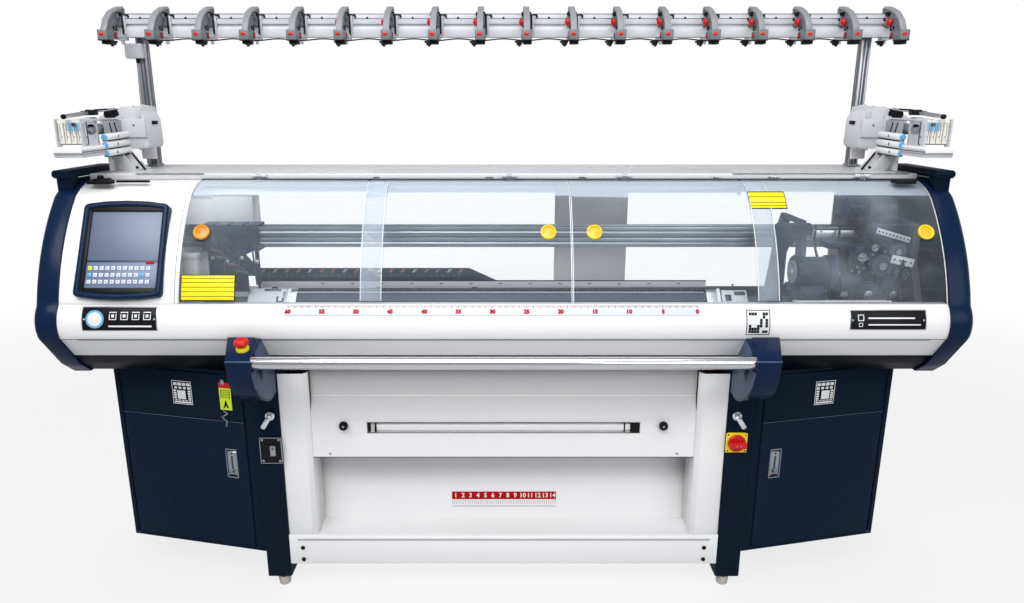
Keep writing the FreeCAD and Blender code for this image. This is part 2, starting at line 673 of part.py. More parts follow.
def bridge_profile():
    front, rear = FRONT_ROD_Y - BRIDGE_REACH, REAR_ROD_Y + BRIDGE_REACH
    low, hip = ROD_Z - SKIRT_DROP, ROD_Z + 50
    return [(front, low), (front, hip), (-118, BRIDGE_TOP - 238), (-104, BRIDGE_TOP - 68),
            (-84, BRIDGE_TOP), (100, BRIDGE_TOP), (140, BRIDGE_TOP - 68),
            (rear - 40, BRIDGE_TOP - 208), (rear, hip), (rear, low)]


def bridge_way():
    """The part of the carriage's section that the beds, beam and rails need free."""
    clear = 12.0
    roof = BED_APEX + clear * math.sqrt(2)
    half = BEAM_HALF_DEPTH + 8
    rear = STOP_BAR_Y + STOP_BAR_THICK + BAR_WAY
    low = ROD_Z - SKIRT_DROP - 6
    return [(-half, low), (-half, roof - half), (-TUNNEL_Y, roof - TUNNEL_Y),
            (-TUNNEL_Y, TUNNEL_TOP), (TUNNEL_Y, TUNNEL_TOP), (TUNNEL_Y, roof - TUNNEL_Y),
            (STOP_BAR_Y - BAR_WAY, roof - STOP_BAR_Y + BAR_WAY),
            (STOP_BAR_Y - BAR_WAY, STOP_BAR_TOP + BAR_WAY), (rear, STOP_BAR_TOP + BAR_WAY),
            (rear, low)]


def bridge_horn(x):
    """The bracket that stands off the front left of the carriage's side plate at x."""
    left, low, high = x - HORN_REACH, HORN_LOW_Z, BRIDGE_TOP
    right, arm = x + BRIDGE_PLATE, BRIDGE_TOP - HORN_BAR
    bar = left + HORN_BAR
    outline = [(left, low), (bar, low), (bar, arm - 60), (bar + 8, arm - 32), (bar + 27, arm - 12),
               (bar + 59, arm), (right, arm), (right, high - 8), (right - 8, high),
               (left + 8, high), (left, high - 8)]
    corners = [V(a, HORN_Y[0], b) for a, b in outline]
    plate = Part.Face(Part.makePolygon(corners + corners[:1])).extrude(
        V(0, HORN_Y[1] - HORN_Y[0], 0))
    return join([plate, box(x, right, HORN_Y[0], -90, arm, arm + HORN_BAR / 2)])


def carriage_bridge():
    """Two side plates joined by a top beam, running on the guide rods."""
    x0, x1 = CARRIAGE_X - CARRIAGE_HALF, CARRIAGE_X + CARRIAGE_HALF
    plates = [prism(bridge_profile(), x0, x0 + BRIDGE_PLATE),
              prism(bridge_profile(), x1 - BRIDGE_PLATE, x1)]
    top = box(CARRIAGE_X, x1, -60, 76, TUNNEL_TOP + 2, BRIDGE_TOP)
    half = BRIDGE_REACH
    skirts = [box(x0, x1, y - half, y + half, ROD_Z - SKIRT_DROP, ROD_Z + 22)
              for y in (FRONT_ROD_Y, REAR_ROD_Y)]
    bridge = join(plates + [top, bridge_horn(x0)] + skirts)
    bridge = bridge.cut(prism(bridge_way(), x0 - 1, x1 + 1))
    for y in (FRONT_ROD_Y, REAR_ROD_Y):
        bridge = bridge.cut(rod_x(ROD_R + RUNNING, x0 - 1, x1 + 1, y, ROD_Z))
    return bridge


MOTOR_COUNT = 4
MOTOR_R = 20.0


def cam_boxes():
    """The cam boxes over the two beds, with their stepper motors."""
    x0 = CARRIAGE_X - CARRIAGE_HALF + BRIDGE_PLATE
    x1 = CARRIAGE_X + CARRIAGE_HALF - BRIDGE_PLATE
    body = prism([bed_point(22, 7), bed_point(22, 52), bed_point(140, 52), bed_point(140, 7)],
                 x0, x1)
    motors = []
    step = (x1 - x0) / MOTOR_COUNT
    for i in range(MOTOR_COUNT):
        a, b = bed_point(70, 50), bed_point(70, 94)
        motors.append(flat_rod(MOTOR_R, 44, V(x0 + (i + 0.5) * step, *a),
                               V(0, b[0] - a[0], b[1] - a[1]), 12))
    front = join([body] + motors)
    rear_body = prism([bed_point(22, 7), bed_point(22, 40), bed_point(126, 40),
                       bed_point(126, 7)], x0, x1).mirror(V(0, 0, 0), V(0, 1, 0))
    return Part.makeCompound([front, rear_body])


def yarn_carriers():
    """The yarn carriers parked at the left: a bridge over the rails and a feeder arm."""
    parts = []
    for i in range(CARRIER_COUNT):
        x = CARRIER_X + (i - (CARRIER_COUNT - 1) / 2) * CARRIER_PITCH
        half = CARRIER_PITCH / 2 - 4
        top = RAIL_LOW_Z + 2 * RAIL_HEIGHT + RAIL_GAP
        block = box(x - half, x + half, -RAIL_Y - 14, RAIL_Y + 14, RAIL_LOW_Z - 12, top + 8)
        for y in (-RAIL_Y, RAIL_Y):
            block = block.cut(box(x - half - 1, x + half + 1, y - RAIL_THICK / 2 - 0.3,
                                  y + RAIL_THICK / 2 + 0.3, RAIL_LOW_Z - 0.3, top + 0.3))
        arm = box(x - 6, x + 6, -5, 5, BED_APEX + 14, RAIL_LOW_Z - 11)
        tip = prism([(-1.6, BED_APEX + 0.5), (1.6, BED_APEX + 0.5), (5, BED_APEX + 15),
                     (-5, BED_APEX + 15)], x - 4, x + 4)
        parts.append(join([block, arm, tip]))
    spine = box(CARRIER_X - CARRIER_PITCH * 1.9, CARRIER_X + CARRIER_PITCH * 1.9,
                -8, 8, RAIL_LOW_Z - 12, RAIL_LOW_Z - 4)
    return join(parts + [spine])


# ---------------------------------------------------------------- stand
def leg():
    """Right-hand leg: a deep welded box with bores for its latch and switch."""
    x0, x1 = LEG_X - LEG_WIDTH / 2, LEG_X + LEG_WIDTH / 2
    body = box(x0, x1, LEG_FRONT_Y, LEG_REAR_Y, FOOT_HEIGHT, BELLY_Z + CAP_LIP)
    return body.makeChamfer(4, [e for e in body.Edges
                                if e.BoundBox.YMax < LEG_FRONT_Y + 0.01 and e.Length > 300])


def foot():
    """A levelling foot: a stepped pad and its stud."""
    up = V(0, 0, 1)
    pad = flat_rod(FOOT_R, FOOT_PAD, V(), up, 16)
    nut = flat_rod(FOOT_R * 0.66, FOOT_PAD, V(0, 0, FOOT_PAD), up, 6)
    stud = flat_rod(FOOT_R * 0.4, FOOT_HEIGHT - 2 * FOOT_PAD, V(0, 0, 2 * FOOT_PAD), up, 8)
    return join([pad, nut, stud])


def feet():
    pads = []
    for x in (-LEG_X + 8, LEG_X - 8):
        for y in (FOOT_FRONT_Y, FOOT_REAR_Y):
            pad = foot()
            pad.translate(V(x, y, 0))
            pads.append(pad)
    return Part.makeCompound(pads)


def tray():
    """Folded tray: front rail, lip, floor and sloping back, between the legs."""
    half = LEG_X - LEG_WIDTH / 2
    y0, t = LEG_FRONT_Y, SHEET
    lean = TRAY_TOP[0] - TRAY_BACK_Y
    return prism([(y0, TRAY_RAIL_Z), (y0, TRAY_FLOOR_Z + 10), (y0 + t, TRAY_FLOOR_Z + 10),
                  (y0 + t, TRAY_FLOOR_Z), (TRAY_BACK_Y, TRAY_FLOOR_Z),
                  (TRAY_BACK_Y + lean, TRAY_TOP[1]), (TRAY_BACK_Y + lean + t, TRAY_TOP[1]),
                  (TRAY_BACK_Y + t, TRAY_FLOOR_Z - t), (y0 + t, TRAY_FLOOR_Z - t),
                  (y0 + t, TRAY_RAIL_Z + t), (y0 + 20, TRAY_RAIL_Z + t),
                  (y0 + 20, TRAY_RAIL_Z)], -half, half)


def column_cover():
    """Right-hand folded column beside the guard."""
    half = LEG_X - LEG_WIDTH / 2
    x0, t = COLUMN_INNER_X, SHEET
    front, side, rear = COLUMN_FRONT_Y, COLUMN_SIDE_Y, COLUMN_REAR_Y
    cut = side - front
    plan = [V(half, front, 0), V(x0 + cut, front, 0), V(x0, side, 0), V(x0, rear, 0),
            V(x0 + t, rear, 0), V(x0 + t, side + 1, 0), V(x0 + cut + 1, front + t, 0),
            V(half, front + t, 0)]
    face = Part.Face(Part.makePolygon(plan + plan[:1]))
    face.translate(V(0, 0, TRAY_FLOOR_Z))
    return face.extrude(V(0, 0, GUARD_TOP_Z - TRAY_FLOOR_Z))


def guard_panel():
    """Folded guard in front of the take-down, with a recessed slot."""
    half = COLUMN_INNER_X
    y, t = GUARD_Y, SHEET
    back, flange = y + GUARD_STEP, y + GUARD_FLANGE
    z2, z3 = GUARD_FOLD_Z
    panel = prism([(y, GUARD_LOW_Z), (y, z2), (back, z3), (back, GUARD_TOP_Z),
                   (back + t, GUARD_TOP_Z), (back + t, z3), (y + t, z2),
                   (y + t, GUARD_LOW_Z + t), (flange, GUARD_LOW_Z + t), (flange, GUARD_LOW_Z)],
                  -half, half)
    z0, z1 = GUARD_SLOT_Z
    channel = box(-GUARD_SLOT_X - t, GUARD_SLOT_X + t, y + 1, back, z0 - t, z1 + t)
    slot = box(-GUARD_SLOT_X, GUARD_SLOT_X, y - 1, back - t, z0, z1)
    insert = box(-GUARD_SLOT_X + 22, GUARD_SLOT_X - 22, y + 4, back - t, z0 + 8, z1 - 8)
    return join([join([panel, channel]).cut(slot), insert])


def roller(radius, y):
    body = rod_x(radius, -ROLLER_HALF, ROLLER_HALF, y, ROLLER_Z)
    shaft = rod_x(JOURNAL_R, -BEARING_X - JOURNAL_IN, BEARING_X + JOURNAL_IN, y, ROLLER_Z)
    return join([body, shaft])


PRESS_Y = ROLLER_Y - ROLLER_R - PRESS_R - ROLLER_GAP


def bearing():
    """Right-hand bearing block of the two take-down rollers, bolted to the leg."""
    block = box(BEARING_X, LEG_X - LEG_WIDTH / 2, PRESS_Y - 30, ROLLER_Y + 42,
                ROLLER_Z - 42, ROLLER_Z + 42)
    block = block.makeChamfer(10, [e for e in block.Edges if abs(e.Length - (
        LEG_X - LEG_WIDTH / 2 - BEARING_X)) < 0.01])
    for y in (ROLLER_Y, PRESS_Y):
        block = block.cut(rod_x(JOURNAL_R + RUNNING, BEARING_X - 1, BEARING_X + JOURNAL_IN + 2,
                                y, ROLLER_Z))
    return block


# ---------------------------------------------------------------- cabinets
CAB_RUN = (CAB_OUTER[0] - CAB_INNER[0], CAB_OUTER[1] - CAB_INNER[1])
CAB_FRONT = math.hypot(*CAB_RUN)
CAB_TURN = math.degrees(math.atan2(CAB_RUN[1], CAB_RUN[0]))
CAB_PLACE = FreeCAD.Placement(V(CAB_INNER[0], CAB_INNER[1], 0),
                              FreeCAD.Rotation(V(0, 0, 1), CAB_TURN))
DOOR_LOW_Z = CAB_LOW_Z + CAB_RIM + DOOR_GAP
DOOR_HIGH_Z = CAB_HIGH_Z - CAB_RIM - DOOR_GAP
DOOR_MID = DOOR_THICK / 2 - DOOR_PROUD           # middle of the door's thickness
PIVOT_ALONG = CAB_FRONT - 28.0                   # the door's pivot, along the front
DOOR_EDGE = PIVOT_ALONG + DOOR_THICK / 2


def on_cabinet(shape):
    """Places a shape drawn on the cabinet's front: X along it, Y into it."""
    placed = shape.copy()
    placed.Placement = CAB_PLACE.multiply(placed.Placement)
    return placed


def cabinet():
    """Right-hand cabinet: a box open at the front, with a rim round its door."""
    def plan(d, z0, z1):
        inner, outer = CAB_INNER, CAB_OUTER
        slope = CAB_RUN[1] / CAB_RUN[0]
        front = d * math.hypot(1, slope)
        pts = [V(inner[0] + d, inner[1] + slope * d + front, z0),
               V(outer[0] - d, outer[1] - slope * d + front, z0),
               V(outer[0] - d, CAB_REAR_Y - d, z0), V(inner[0] + d, CAB_REAR_Y - d, z0)]
        return Part.Face(Part.makePolygon(pts + pts[:1])).extrude(V(0, 0, z1 - z0))
    shell = plan(0, CAB_LOW_Z, CAB_HIGH_Z)
    shell = shell.cut(plan(CAB_WALL, CAB_LOW_Z + CAB_WALL, CAB_HIGH_Z - CAB_WALL))
    gate = box(DOOR_FROM - DOOR_GAP, DOOR_EDGE + DOOR_GAP, -5, CAB_WALL + 5,
               CAB_LOW_Z + CAB_RIM, CAB_HIGH_Z - CAB_RIM)
    shell = shell.cut(on_cabinet(gate))
    blocks = []
    for z0, z1 in ((CAB_LOW_Z, CAB_LOW_Z + CAB_RIM), (CAB_HIGH_Z - CAB_RIM, CAB_HIGH_Z)):
        blocks.append(on_cabinet(box(PIVOT_ALONG - 16, PIVOT_ALONG + 16, 1, 22, z0, z1)))
    shell = join([shell] + blocks)
    hole = rod_z(PIVOT_R + RUNNING, CAB_LOW_Z + CAB_WALL, CAB_HIGH_Z - CAB_WALL,
                 PIVOT_ALONG, DOOR_MID)
    return shell.cut(on_cabinet(hole))


def door():
    """Right-hand door: a pan with a round hinge edge, pivot pins and a latch pocket."""
    y0, y1 = -DOOR_PROUD, DOOR_THICK - DOOR_PROUD
    slab = box(DOOR_FROM, PIVOT_ALONG, y0, y1, DOOR_LOW_Z, DOOR_HIGH_Z)
    edge = rod_z(DOOR_THICK / 2, DOOR_LOW_Z, DOOR_HIGH_Z, PIVOT_ALONG, DOOR_MID)
    back = box(DOOR_FROM + 16, PIVOT_ALONG - 16, y0 + SHEET, y1 + 1,
               DOOR_LOW_Z + 16, DOOR_HIGH_Z - 16)
    body = join([slab, edge]).cut(back)
    cup = box(LATCH_ALONG - LATCH_WIDTH / 2 - SHEET, LATCH_ALONG + LATCH_WIDTH / 2 + SHEET,
              y0 + 1, y1, LATCH_Z - LATCH_HEIGHT / 2 - SHEET, LATCH_Z + LATCH_HEIGHT / 2 + SHEET)
    pins = [rod_z(PIVOT_R, DOOR_LOW_Z - PIVOT_LENGTH, DOOR_HIGH_Z + PIVOT_LENGTH,
                  PIVOT_ALONG, DOOR_MID)]
    crease = box(DOOR_FROM + 14, PIVOT_ALONG - 14, y0 - 1, y0 + CREASE_DEPTH,
                 CREASE_Z, CREASE_Z + CREASE_DEPTH * 4)
    body = join([body, cup] + pins).cut(crease)
    pocket = box(LATCH_ALONG - LATCH_WIDTH / 2, LATCH_ALONG + LATCH_WIDTH / 2, y0 - 1, y1 - 3,
                 LATCH_Z - LATCH_HEIGHT / 2, LATCH_Z + LATCH_HEIGHT / 2)
    pin_z = LATCH_Z + LATCH_HEIGHT / 2 - HANDLE_PIN_DROP
    pin_hole = rod_x(HANDLE_PIN_R + RUNNING, LATCH_ALONG - LATCH_WIDTH / 2 - 2,
                     LATCH_ALONG + LATCH_WIDTH / 2 + 2, y0 + 6, pin_z)
    return on_cabinet(body.cut(pocket).cut(pin_hole))


def door_handle():
    """Right-hand paddle handle, hung on a pin at the top of its pocket."""
    y0 = -DOOR_PROUD
    half = LATCH_WIDTH / 2 - 1
    pin_z = LATCH_Z + LATCH_HEIGHT / 2 - HANDLE_PIN_DROP
    low = LATCH_Z - LATCH_HEIGHT / 2 + 3
    paddle = prism([(y0 + 1, low), (y0 + 1, pin_z + 2), (y0 + 4, pin_z + 5), (y0 + 8, pin_z + 5),
                    (y0 + 11, pin_z + 2), (y0 + 11, pin_z - 2), (y0 + 9, pin_z - 5),
                    (y0 + 9, low)], LATCH_ALONG - half, LATCH_ALONG + half)
    finger = box(LATCH_ALONG - half + 5, LATCH_ALONG + half - 5, y0, y0 + 4, low, low + 23)
    pin = rod_x(HANDLE_PIN_R, LATCH_ALONG - LATCH_WIDTH / 2 - 1.5,
                LATCH_ALONG + LATCH_WIDTH / 2 + 1.5, y0 + 6, pin_z)
    return on_cabinet(join([paddle, pin]).cut(finger))


# ---------------------------------------------------------------- operating bar
def bracket():
    """Right-hand D-shaped bracket of the operating bar, seated on the housing."""
    x0, x1 = BRACKET_X - BRACKET_WIDTH / 2, BRACKET_X + BRACKET_WIDTH / 2
    y, z = BAR_Y, BAR_Z
    body = prism([BRACKET_TOP, (y - 25, z + 10), ((y + 2, z - 84), (y + 82, z - 149)),
                  ((y + 138, z - 171), (y + 197, z - 168)), (y + 197, z - 84),
                  (y + 150, BRACKET_TOP[1])], x0, x1)
    body = body.cut(housing(CAP_LIP, x0 - 1, x1 + 1))
    slot = prism([(y + 55, z - 34), (y + 100, z - 94), (y + 130, z - 84), (y + 100, z - 39)],
                 x0 - 1, x1 + 1)
    pocket = prism([(y + 48, z + 9), (y - 4, z - 22), ((y + 16, z - 78), (y + 84, z - 132)),
                    (y + 110, z - 84)], x0 + BRACKET_WALL, x1 + 1)
    hollow = pocket.cut(rod_x(BAR_R + BRACKET_WALL, x0 - 1, x1 + 1, y, z))
    body = body.cut(slot).cut(hollow)
    return body.cut(rod_x(BAR_R + RUNNING, x0 - 1, x0 + BAR_SEAT + 1, y, z))


def operating_bar():
    reach = BRACKET_X - BRACKET_WIDTH / 2 + BAR_SEAT
    bar = rod_x(BAR_R, -reach, reach, BAR_Y, BAR_Z)
    return bar.cut(rod_x(BAR_R - BAR_WALL, -reach - 1, reach + 1, BAR_Y, BAR_Z))


STOP_SLOPE = (BAR_Y - 25 - BRACKET_TOP[0], BAR_Z + 10 - BRACKET_TOP[1])
STOP_LEN = math.hypot(*STOP_SLOPE)
STOP_OUT = V(0, STOP_SLOPE[1] / STOP_LEN, -STOP_SLOPE[0] / STOP_LEN)
STOP_AT = V(-BRACKET_X, BRACKET_TOP[0] + STOP_SLOPE[0] * STOP_SHARE,
            BRACKET_TOP[1] + STOP_SLOPE[1] * STOP_SHARE)


def stop_collar():
    """Yellow collar of the stop button, on the left bracket's sloping face."""
    collar = flat_rod(STOP_COLLAR_R, STOP_COLLAR_HIGH, STOP_AT, STOP_OUT, KNOB_SIDES)
    return collar.cut(Part.makeCylinder(STOP_STEM_R + RUNNING, 2 * STOP_COLLAR_HIGH,
                                        STOP_AT - STOP_OUT, STOP_OUT))


def stop_button():
    """Red mushroom button on its stem."""
    foot = STOP_AT + STOP_OUT * (STOP_COLLAR_HIGH + STOP_TRAVEL + 1)
    low = STOP_AT + STOP_OUT * (STOP_COLLAR_HIGH / 2)
    stem = Part.makeCylinder(STOP_STEM_R, STOP_COLLAR_HIGH, low, STOP_OUT)
    cap = flat_rod(STOP_R, STOP_CAP - 5, foot, STOP_OUT, KNOB_SIDES)
    crown = flat_rod(STOP_R - 5, STOP_CAP, foot, STOP_OUT, KNOB_SIDES)
    return join([stem, cap, crown])


# ---------------------------------------------------------------- switches and catches
def switch_plate():
    half = SWITCH_SIZE / 2
    plate = box(SWITCH_X - half, SWITCH_X + half, LEG_FRONT_Y - 6, LEG_FRONT_Y,
                SWITCH_Z - half, SWITCH_Z + half)
    plate = plate.makeChamfer(5, [e for e in plate.Edges if abs(e.Length - 6) < 0.01])
    return plate.cut(rod_y(SHAFT_R + RUNNING, LEG_FRONT_Y - 7, LEG_FRONT_Y + 1,
                           SWITCH_X, SWITCH_Z))


def switch_knob():
    """Red rotary switch: a disc with a grip bar, on a shaft in the plate."""
    y = LEG_FRONT_Y - 6
    disc = flat_rod(SWITCH_KNOB_R, 9.5, V(SWITCH_X, y - 0.5, SWITCH_Z), V(0, -1, 0), KNOB_SIDES)
    grip = box(SWITCH_X - SWITCH_KNOB_R + 1, SWITCH_X + SWITCH_KNOB_R - 1, y - 30, y - 9,
               SWITCH_Z - 9, SWITCH_Z + 9)
    grip = grip.makeChamfer(3, [e for e in grip.Edges if e.BoundBox.YMax < y - 29.9])
    shaft = rod_y(SHAFT_R, y - 1, y + 5, SWITCH_X, SWITCH_Z)
    return join([disc, grip, shaft])


def rocker_frame():
    """Frame of the mains rocker, on the left leg."""
    frame = box(-SWITCH_X - 35, -SWITCH_X + 35, LEG_FRONT_Y - 8, LEG_FRONT_Y,
                ROCKER_Z - 45, ROCKER_Z + 45)
    frame = frame.makeChamfer(4, [e for e in frame.Edges if abs(e.Length - 8) < 0.01])
    pocket = box(-SWITCH_X - 18, -SWITCH_X + 18, LEG_FRONT_Y - 9, LEG_FRONT_Y - 1,
                 ROCKER_Z - 28, ROCKER_Z + 28)
    frame = frame.cut(pocket)
    return frame.cut(rod_x(2 + RUNNING, -SWITCH_X - 21, -SWITCH_X + 21,
                           LEG_FRONT_Y - 5, ROCKER_Z))


def rocker():
    """Rocker at rest with its lower end out: two faces that meet at the pivot."""
    y, z, tilt = LEG_FRONT_Y - 5, ROCKER_Z, 10.0
    shape = prism([(y + 2, z - 22), (y - 4, z - 22), (y - 3, z), (y - 4, z + 22), (y + 2, z + 22)],
                  -SWITCH_X - 16, -SWITCH_X + 16)
    shape = join([shape, rod_x(2, -SWITCH_X - 20, -SWITCH_X + 20, y, z)])
    shape.rotate(V(0, y, z), V(1, 0, 0), tilt / 2)
    return shape


def catch():
    """Right-hand swivel catch: a boss, a lever and the shaft that turns in the leg."""
    y = LEG_FRONT_Y
    boss = flat_rod(15, 15.5, V(CATCH_X, y - 0.5, CATCH_Z), V(0, -1, 0), 16)
    shaft = rod_y(SHAFT_R, y - 1, y + 20, CATCH_X, CATCH_Z)
    lever = box(-8, 8, -22, -12, -48, 0)
    lever = lever.makeChamfer(4, [e for e in lever.Edges
                                  if e.BoundBox.ZMax < -47.9 and abs(e.Length - 10) < 0.01])
    lever.rotate(V(0, 0, 0), V(0, 1, 0), -32)
    lever.translate(V(CATCH_X, y, CATCH_Z))
    return join([boss, shaft, lever])


def catch_bore():
    return rod_y(SHAFT_R + RUNNING, LEG_FRONT_Y - 1, LEG_FRONT_Y + 24, CATCH_X, CATCH_Z)


# ---------------------------------------------------------------- yarn stand
def slotted(x, y, size, slot, z0, z1):
    """A square extrusion with a T slot along each side."""
    body = box(x - size / 2, x + size / 2, y - size / 2, y + size / 2, z0, z1)
    h = size / 2
    cuts = []
    for dx, dy in ((1, 0), (-1, 0), (0, 1), (0, -1)):
        lx, ly = (h, slot / 2) if dx else (slot / 2, h)
        cx, cy = x + dx * h, y + dy * h
        sx, sy = (5, slot / 2) if dx else (slot / 2, 5)
        cuts.append(box(cx - sx, cx + sx, cy - sy, cy + sy, z0 - 1, z1 + 1))
    return body.cut(cuts)


def yarn_post():
    return slotted(POST_X, POST_Y, POST_SIZE, 9, DECK_Z, YARN_BAR_HIGH - 8)


BAR_REAR_Y = POST_Y - POST_SIZE / 2
BAR_FRONT_Y = BAR_REAR_Y - YARN_BAR_DEPTH


def yarn_bar():
    """The stand's cross bar, a slotted channel, with the guide fittings under it."""
    half = YARN_BAR_LENGTH / 2
    y0, y1, z0, z1 = BAR_FRONT_Y, BAR_REAR_Y, YARN_BAR_LOW, YARN_BAR_HIGH
    mid = (z0 + z1) / 2
    bar = prism([(y0, z0), (y1, z0), (y1, mid - 5), (y1 - 8, mid - 5), (y1 - 8, mid + 5),
                 (y1, mid + 5), (y1, z1), (y0, z1), (y0, mid + 5), (y0 + 8, mid + 5),
                 (y0 + 8, mid - 5), (y0, mid - 5)], -half, half)
    guides = []
    for x in unit_places():
        guides.append(box(x - 16, x + 16, y0 + 6, y1 - 6, z0 - 9, z0))
        guides.append(box(x - 4, x + 4, y0 + 12, y1 - 12, z0 - 22, z0 - 8))
    return join([bar] + guides)


def unit_places():
    return [(i - (UNIT_COUNT - 1) / 2) * UNIT_PITCH for i in range(UNIT_COUNT)]


def yarn_units():
    """The yarn stop units: curved fins that hook over the bar, with a nose block."""
    y0, y1, z1 = BAR_FRONT_Y, BAR_REAR_Y, YARN_BAR_HIGH
    nose = y0 - UNIT_REACH + 20
    fin = prism([(y1, z1), (y1, UNIT_TOP - 6), (y1 - 12, UNIT_TOP), (y0 - 4, z1 + 20),
                 (y0 - 50, z1 + 3), (y0 - 86, z1 - 24), (nose, z1 - 58), (nose - 6, z1 - 88),
                 (nose + 44, z1 - 94), (y0 - 46, z1 - 60), (y0 - 22, z1 - 46), (y0, z1 - 42),
                 (y0, z1)], -UNIT_WIDTH / 2, UNIT_WIDTH / 2)
    block = box(-UNIT_WIDTH / 2 - 9, UNIT_WIDTH / 2 + 9, nose - 12, nose + 40, z1 - 92, z1 - 56)
    unit = join([fin, block, unit_knob()])
    units = []
    for x in unit_places():
        copy = unit.copy()
        copy.translate(V(x, 0, 0))
        units.append(copy)
    return Part.makeCompound(units)


def unit_knob():
    """The dome knob on the left face of a unit."""
    base = V(1 - UNIT_WIDTH / 2, BAR_FRONT_Y - 34, YARN_BAR_HIGH - 30)
    return flat_rod(UNIT_KNOB_R, UNIT_KNOB_R + 3, base, V(-1, 0, 0), 10)


# ---------------------------------------------------------------- side feeders
FEEDER_BEARINGS = (-20.0, 108.0)
BEARING_HALVES = (18.0, 36.0)
FEEDER_ROD_RISE = 108.0
STRUT_YS = (74.0, 150.0)
LOOP_ROD_R = 3.0
LOOP_ROD_Y = FEEDER_FRONT_Y + 30.0
LOOP_ROD_Z = FEEDER_Z + 104.0
LOOP_EAR_X = 38.0          # loop rod's ears, from the middle of the feeder
LOOP_PITCH = 18.0


def feeder_frame():
    """Right-hand side feeder: tray, casting, two bearing plates and its two struts."""
    half = FEEDER_WIDTH / 2
    x0, x1 = FEEDER_X - half, FEEDER_X + half
    y0, y1, z = FEEDER_FRONT_Y, FEEDER_REAR_Y, FEEDER_Z
    pan = box(x0, x1, y0, y1, z, z + 24).cut(
        box(x0 + 3, x1 - 3, y0 + 3, 80, z + 3, z + 30))
    front = FEEDER_BEARINGS[1] + 10
    casting = prism([(front, z + 20), (front, z + 118), (front + 40, z + 127),
                     (y1 - 60, z + 125), (y1 - 24, z + 112), (y1 - 24, z + 20)], x0 + 8, x1 - 8)
    clamp = box(POST_X + POST_SIZE / 2, x0 + 10, y1 - 40, POST_Y + 10, z + 30, z + 96)
    plates = [box(FEEDER_X - wide, FEEDER_X + wide, y, y + 8, z + 2, z + 116)
              for y, wide in zip(FEEDER_BEARINGS, BEARING_HALVES)]
    ears = [box(FEEDER_X + side * LOOP_EAR_X - 2, FEEDER_X + side * LOOP_EAR_X + 2,
                LOOP_ROD_Y - 12, LOOP_ROD_Y + 12, z + 2, LOOP_ROD_Z + 8) for side in (-1, 1)]
    back, rod_z0 = V(0, 1, 0), z + FEEDER_ROD_RISE
    top_rods = [flat_rod(4, y1 - 30 - (FEEDER_BEARINGS[0] - 60),
                         V(FEEDER_X + dx, FEEDER_BEARINGS[0] - 60, rod_z0), back, 8)
                for dx in (-20, 20)]
    grip = flat_rod(8, 60, V(FEEDER_X - 20, FEEDER_BEARINGS[0] - 100, rod_z0), back, 8)
    parts = [pan, casting, clamp, grip] + ears + plates + top_rods
    for y in STRUT_YS:
        strut = Part.Face(Part.makePolygon([
            V(POST_X - 26, y, DECK_Z), V(POST_X + 22, y, DECK_Z), V(FEEDER_X + 10, y, z + 2),
            V(FEEDER_X - 38, y, z + 2), V(POST_X - 26, y, DECK_Z)])).extrude(V(0, 6, 0))
        parts.append(strut)
        parts.append(box(POST_X - 26, POST_X + 22, y, y + 30, DECK_Z, DECK_Z + 5))
    frame = join(parts)
    frame = frame.cut(rod_y(SHAFT_R + RUNNING, FEEDER_BEARINGS[0] - 1, FEEDER_BEARINGS[1] + 9,
                            FEEDER_X, FEEDER_ROLLER_Z))
    return frame.cut(rod_x(LOOP_ROD_R + RUNNING, FEEDER_X - LOOP_EAR_X - 3,
                           FEEDER_X + LOOP_EAR_X + 3, LOOP_ROD_Y, LOOP_ROD_Z))


def feeder_roller():
    y0, y1 = FEEDER_BEARINGS
    body = rod_y(FEEDER_ROLLER_R, y0 + 9, y1 - 1, FEEDER_X, FEEDER_ROLLER_Z)
    return join([body, rod_y(SHAFT_R, y0 + 1, y1 + 7, FEEDER_X, FEEDER_ROLLER_Z)])


def tension_loops():
    """Right-hand set of yarn tension loops, hung from their common rod."""
    loops = [rod_x(LOOP_ROD_R, FEEDER_X - LOOP_EAR_X - 2, FEEDER_X + LOOP_EAR_X + 2,
                   LOOP_ROD_Y, LOOP_ROD_Z)]
    for i in range(LOOP_COUNT):
        ring = box(-7, 7, -3, 3, -64, 7).cut(box(-3, 3, -4, 4, -59, -6))
        ring.translate(V(FEEDER_X + (i - (LOOP_COUNT - 1) / 2) * LOOP_PITCH,
                         LOOP_ROD_Y, LOOP_ROD_Z))
        loops.append(ring)
    return join(loops)


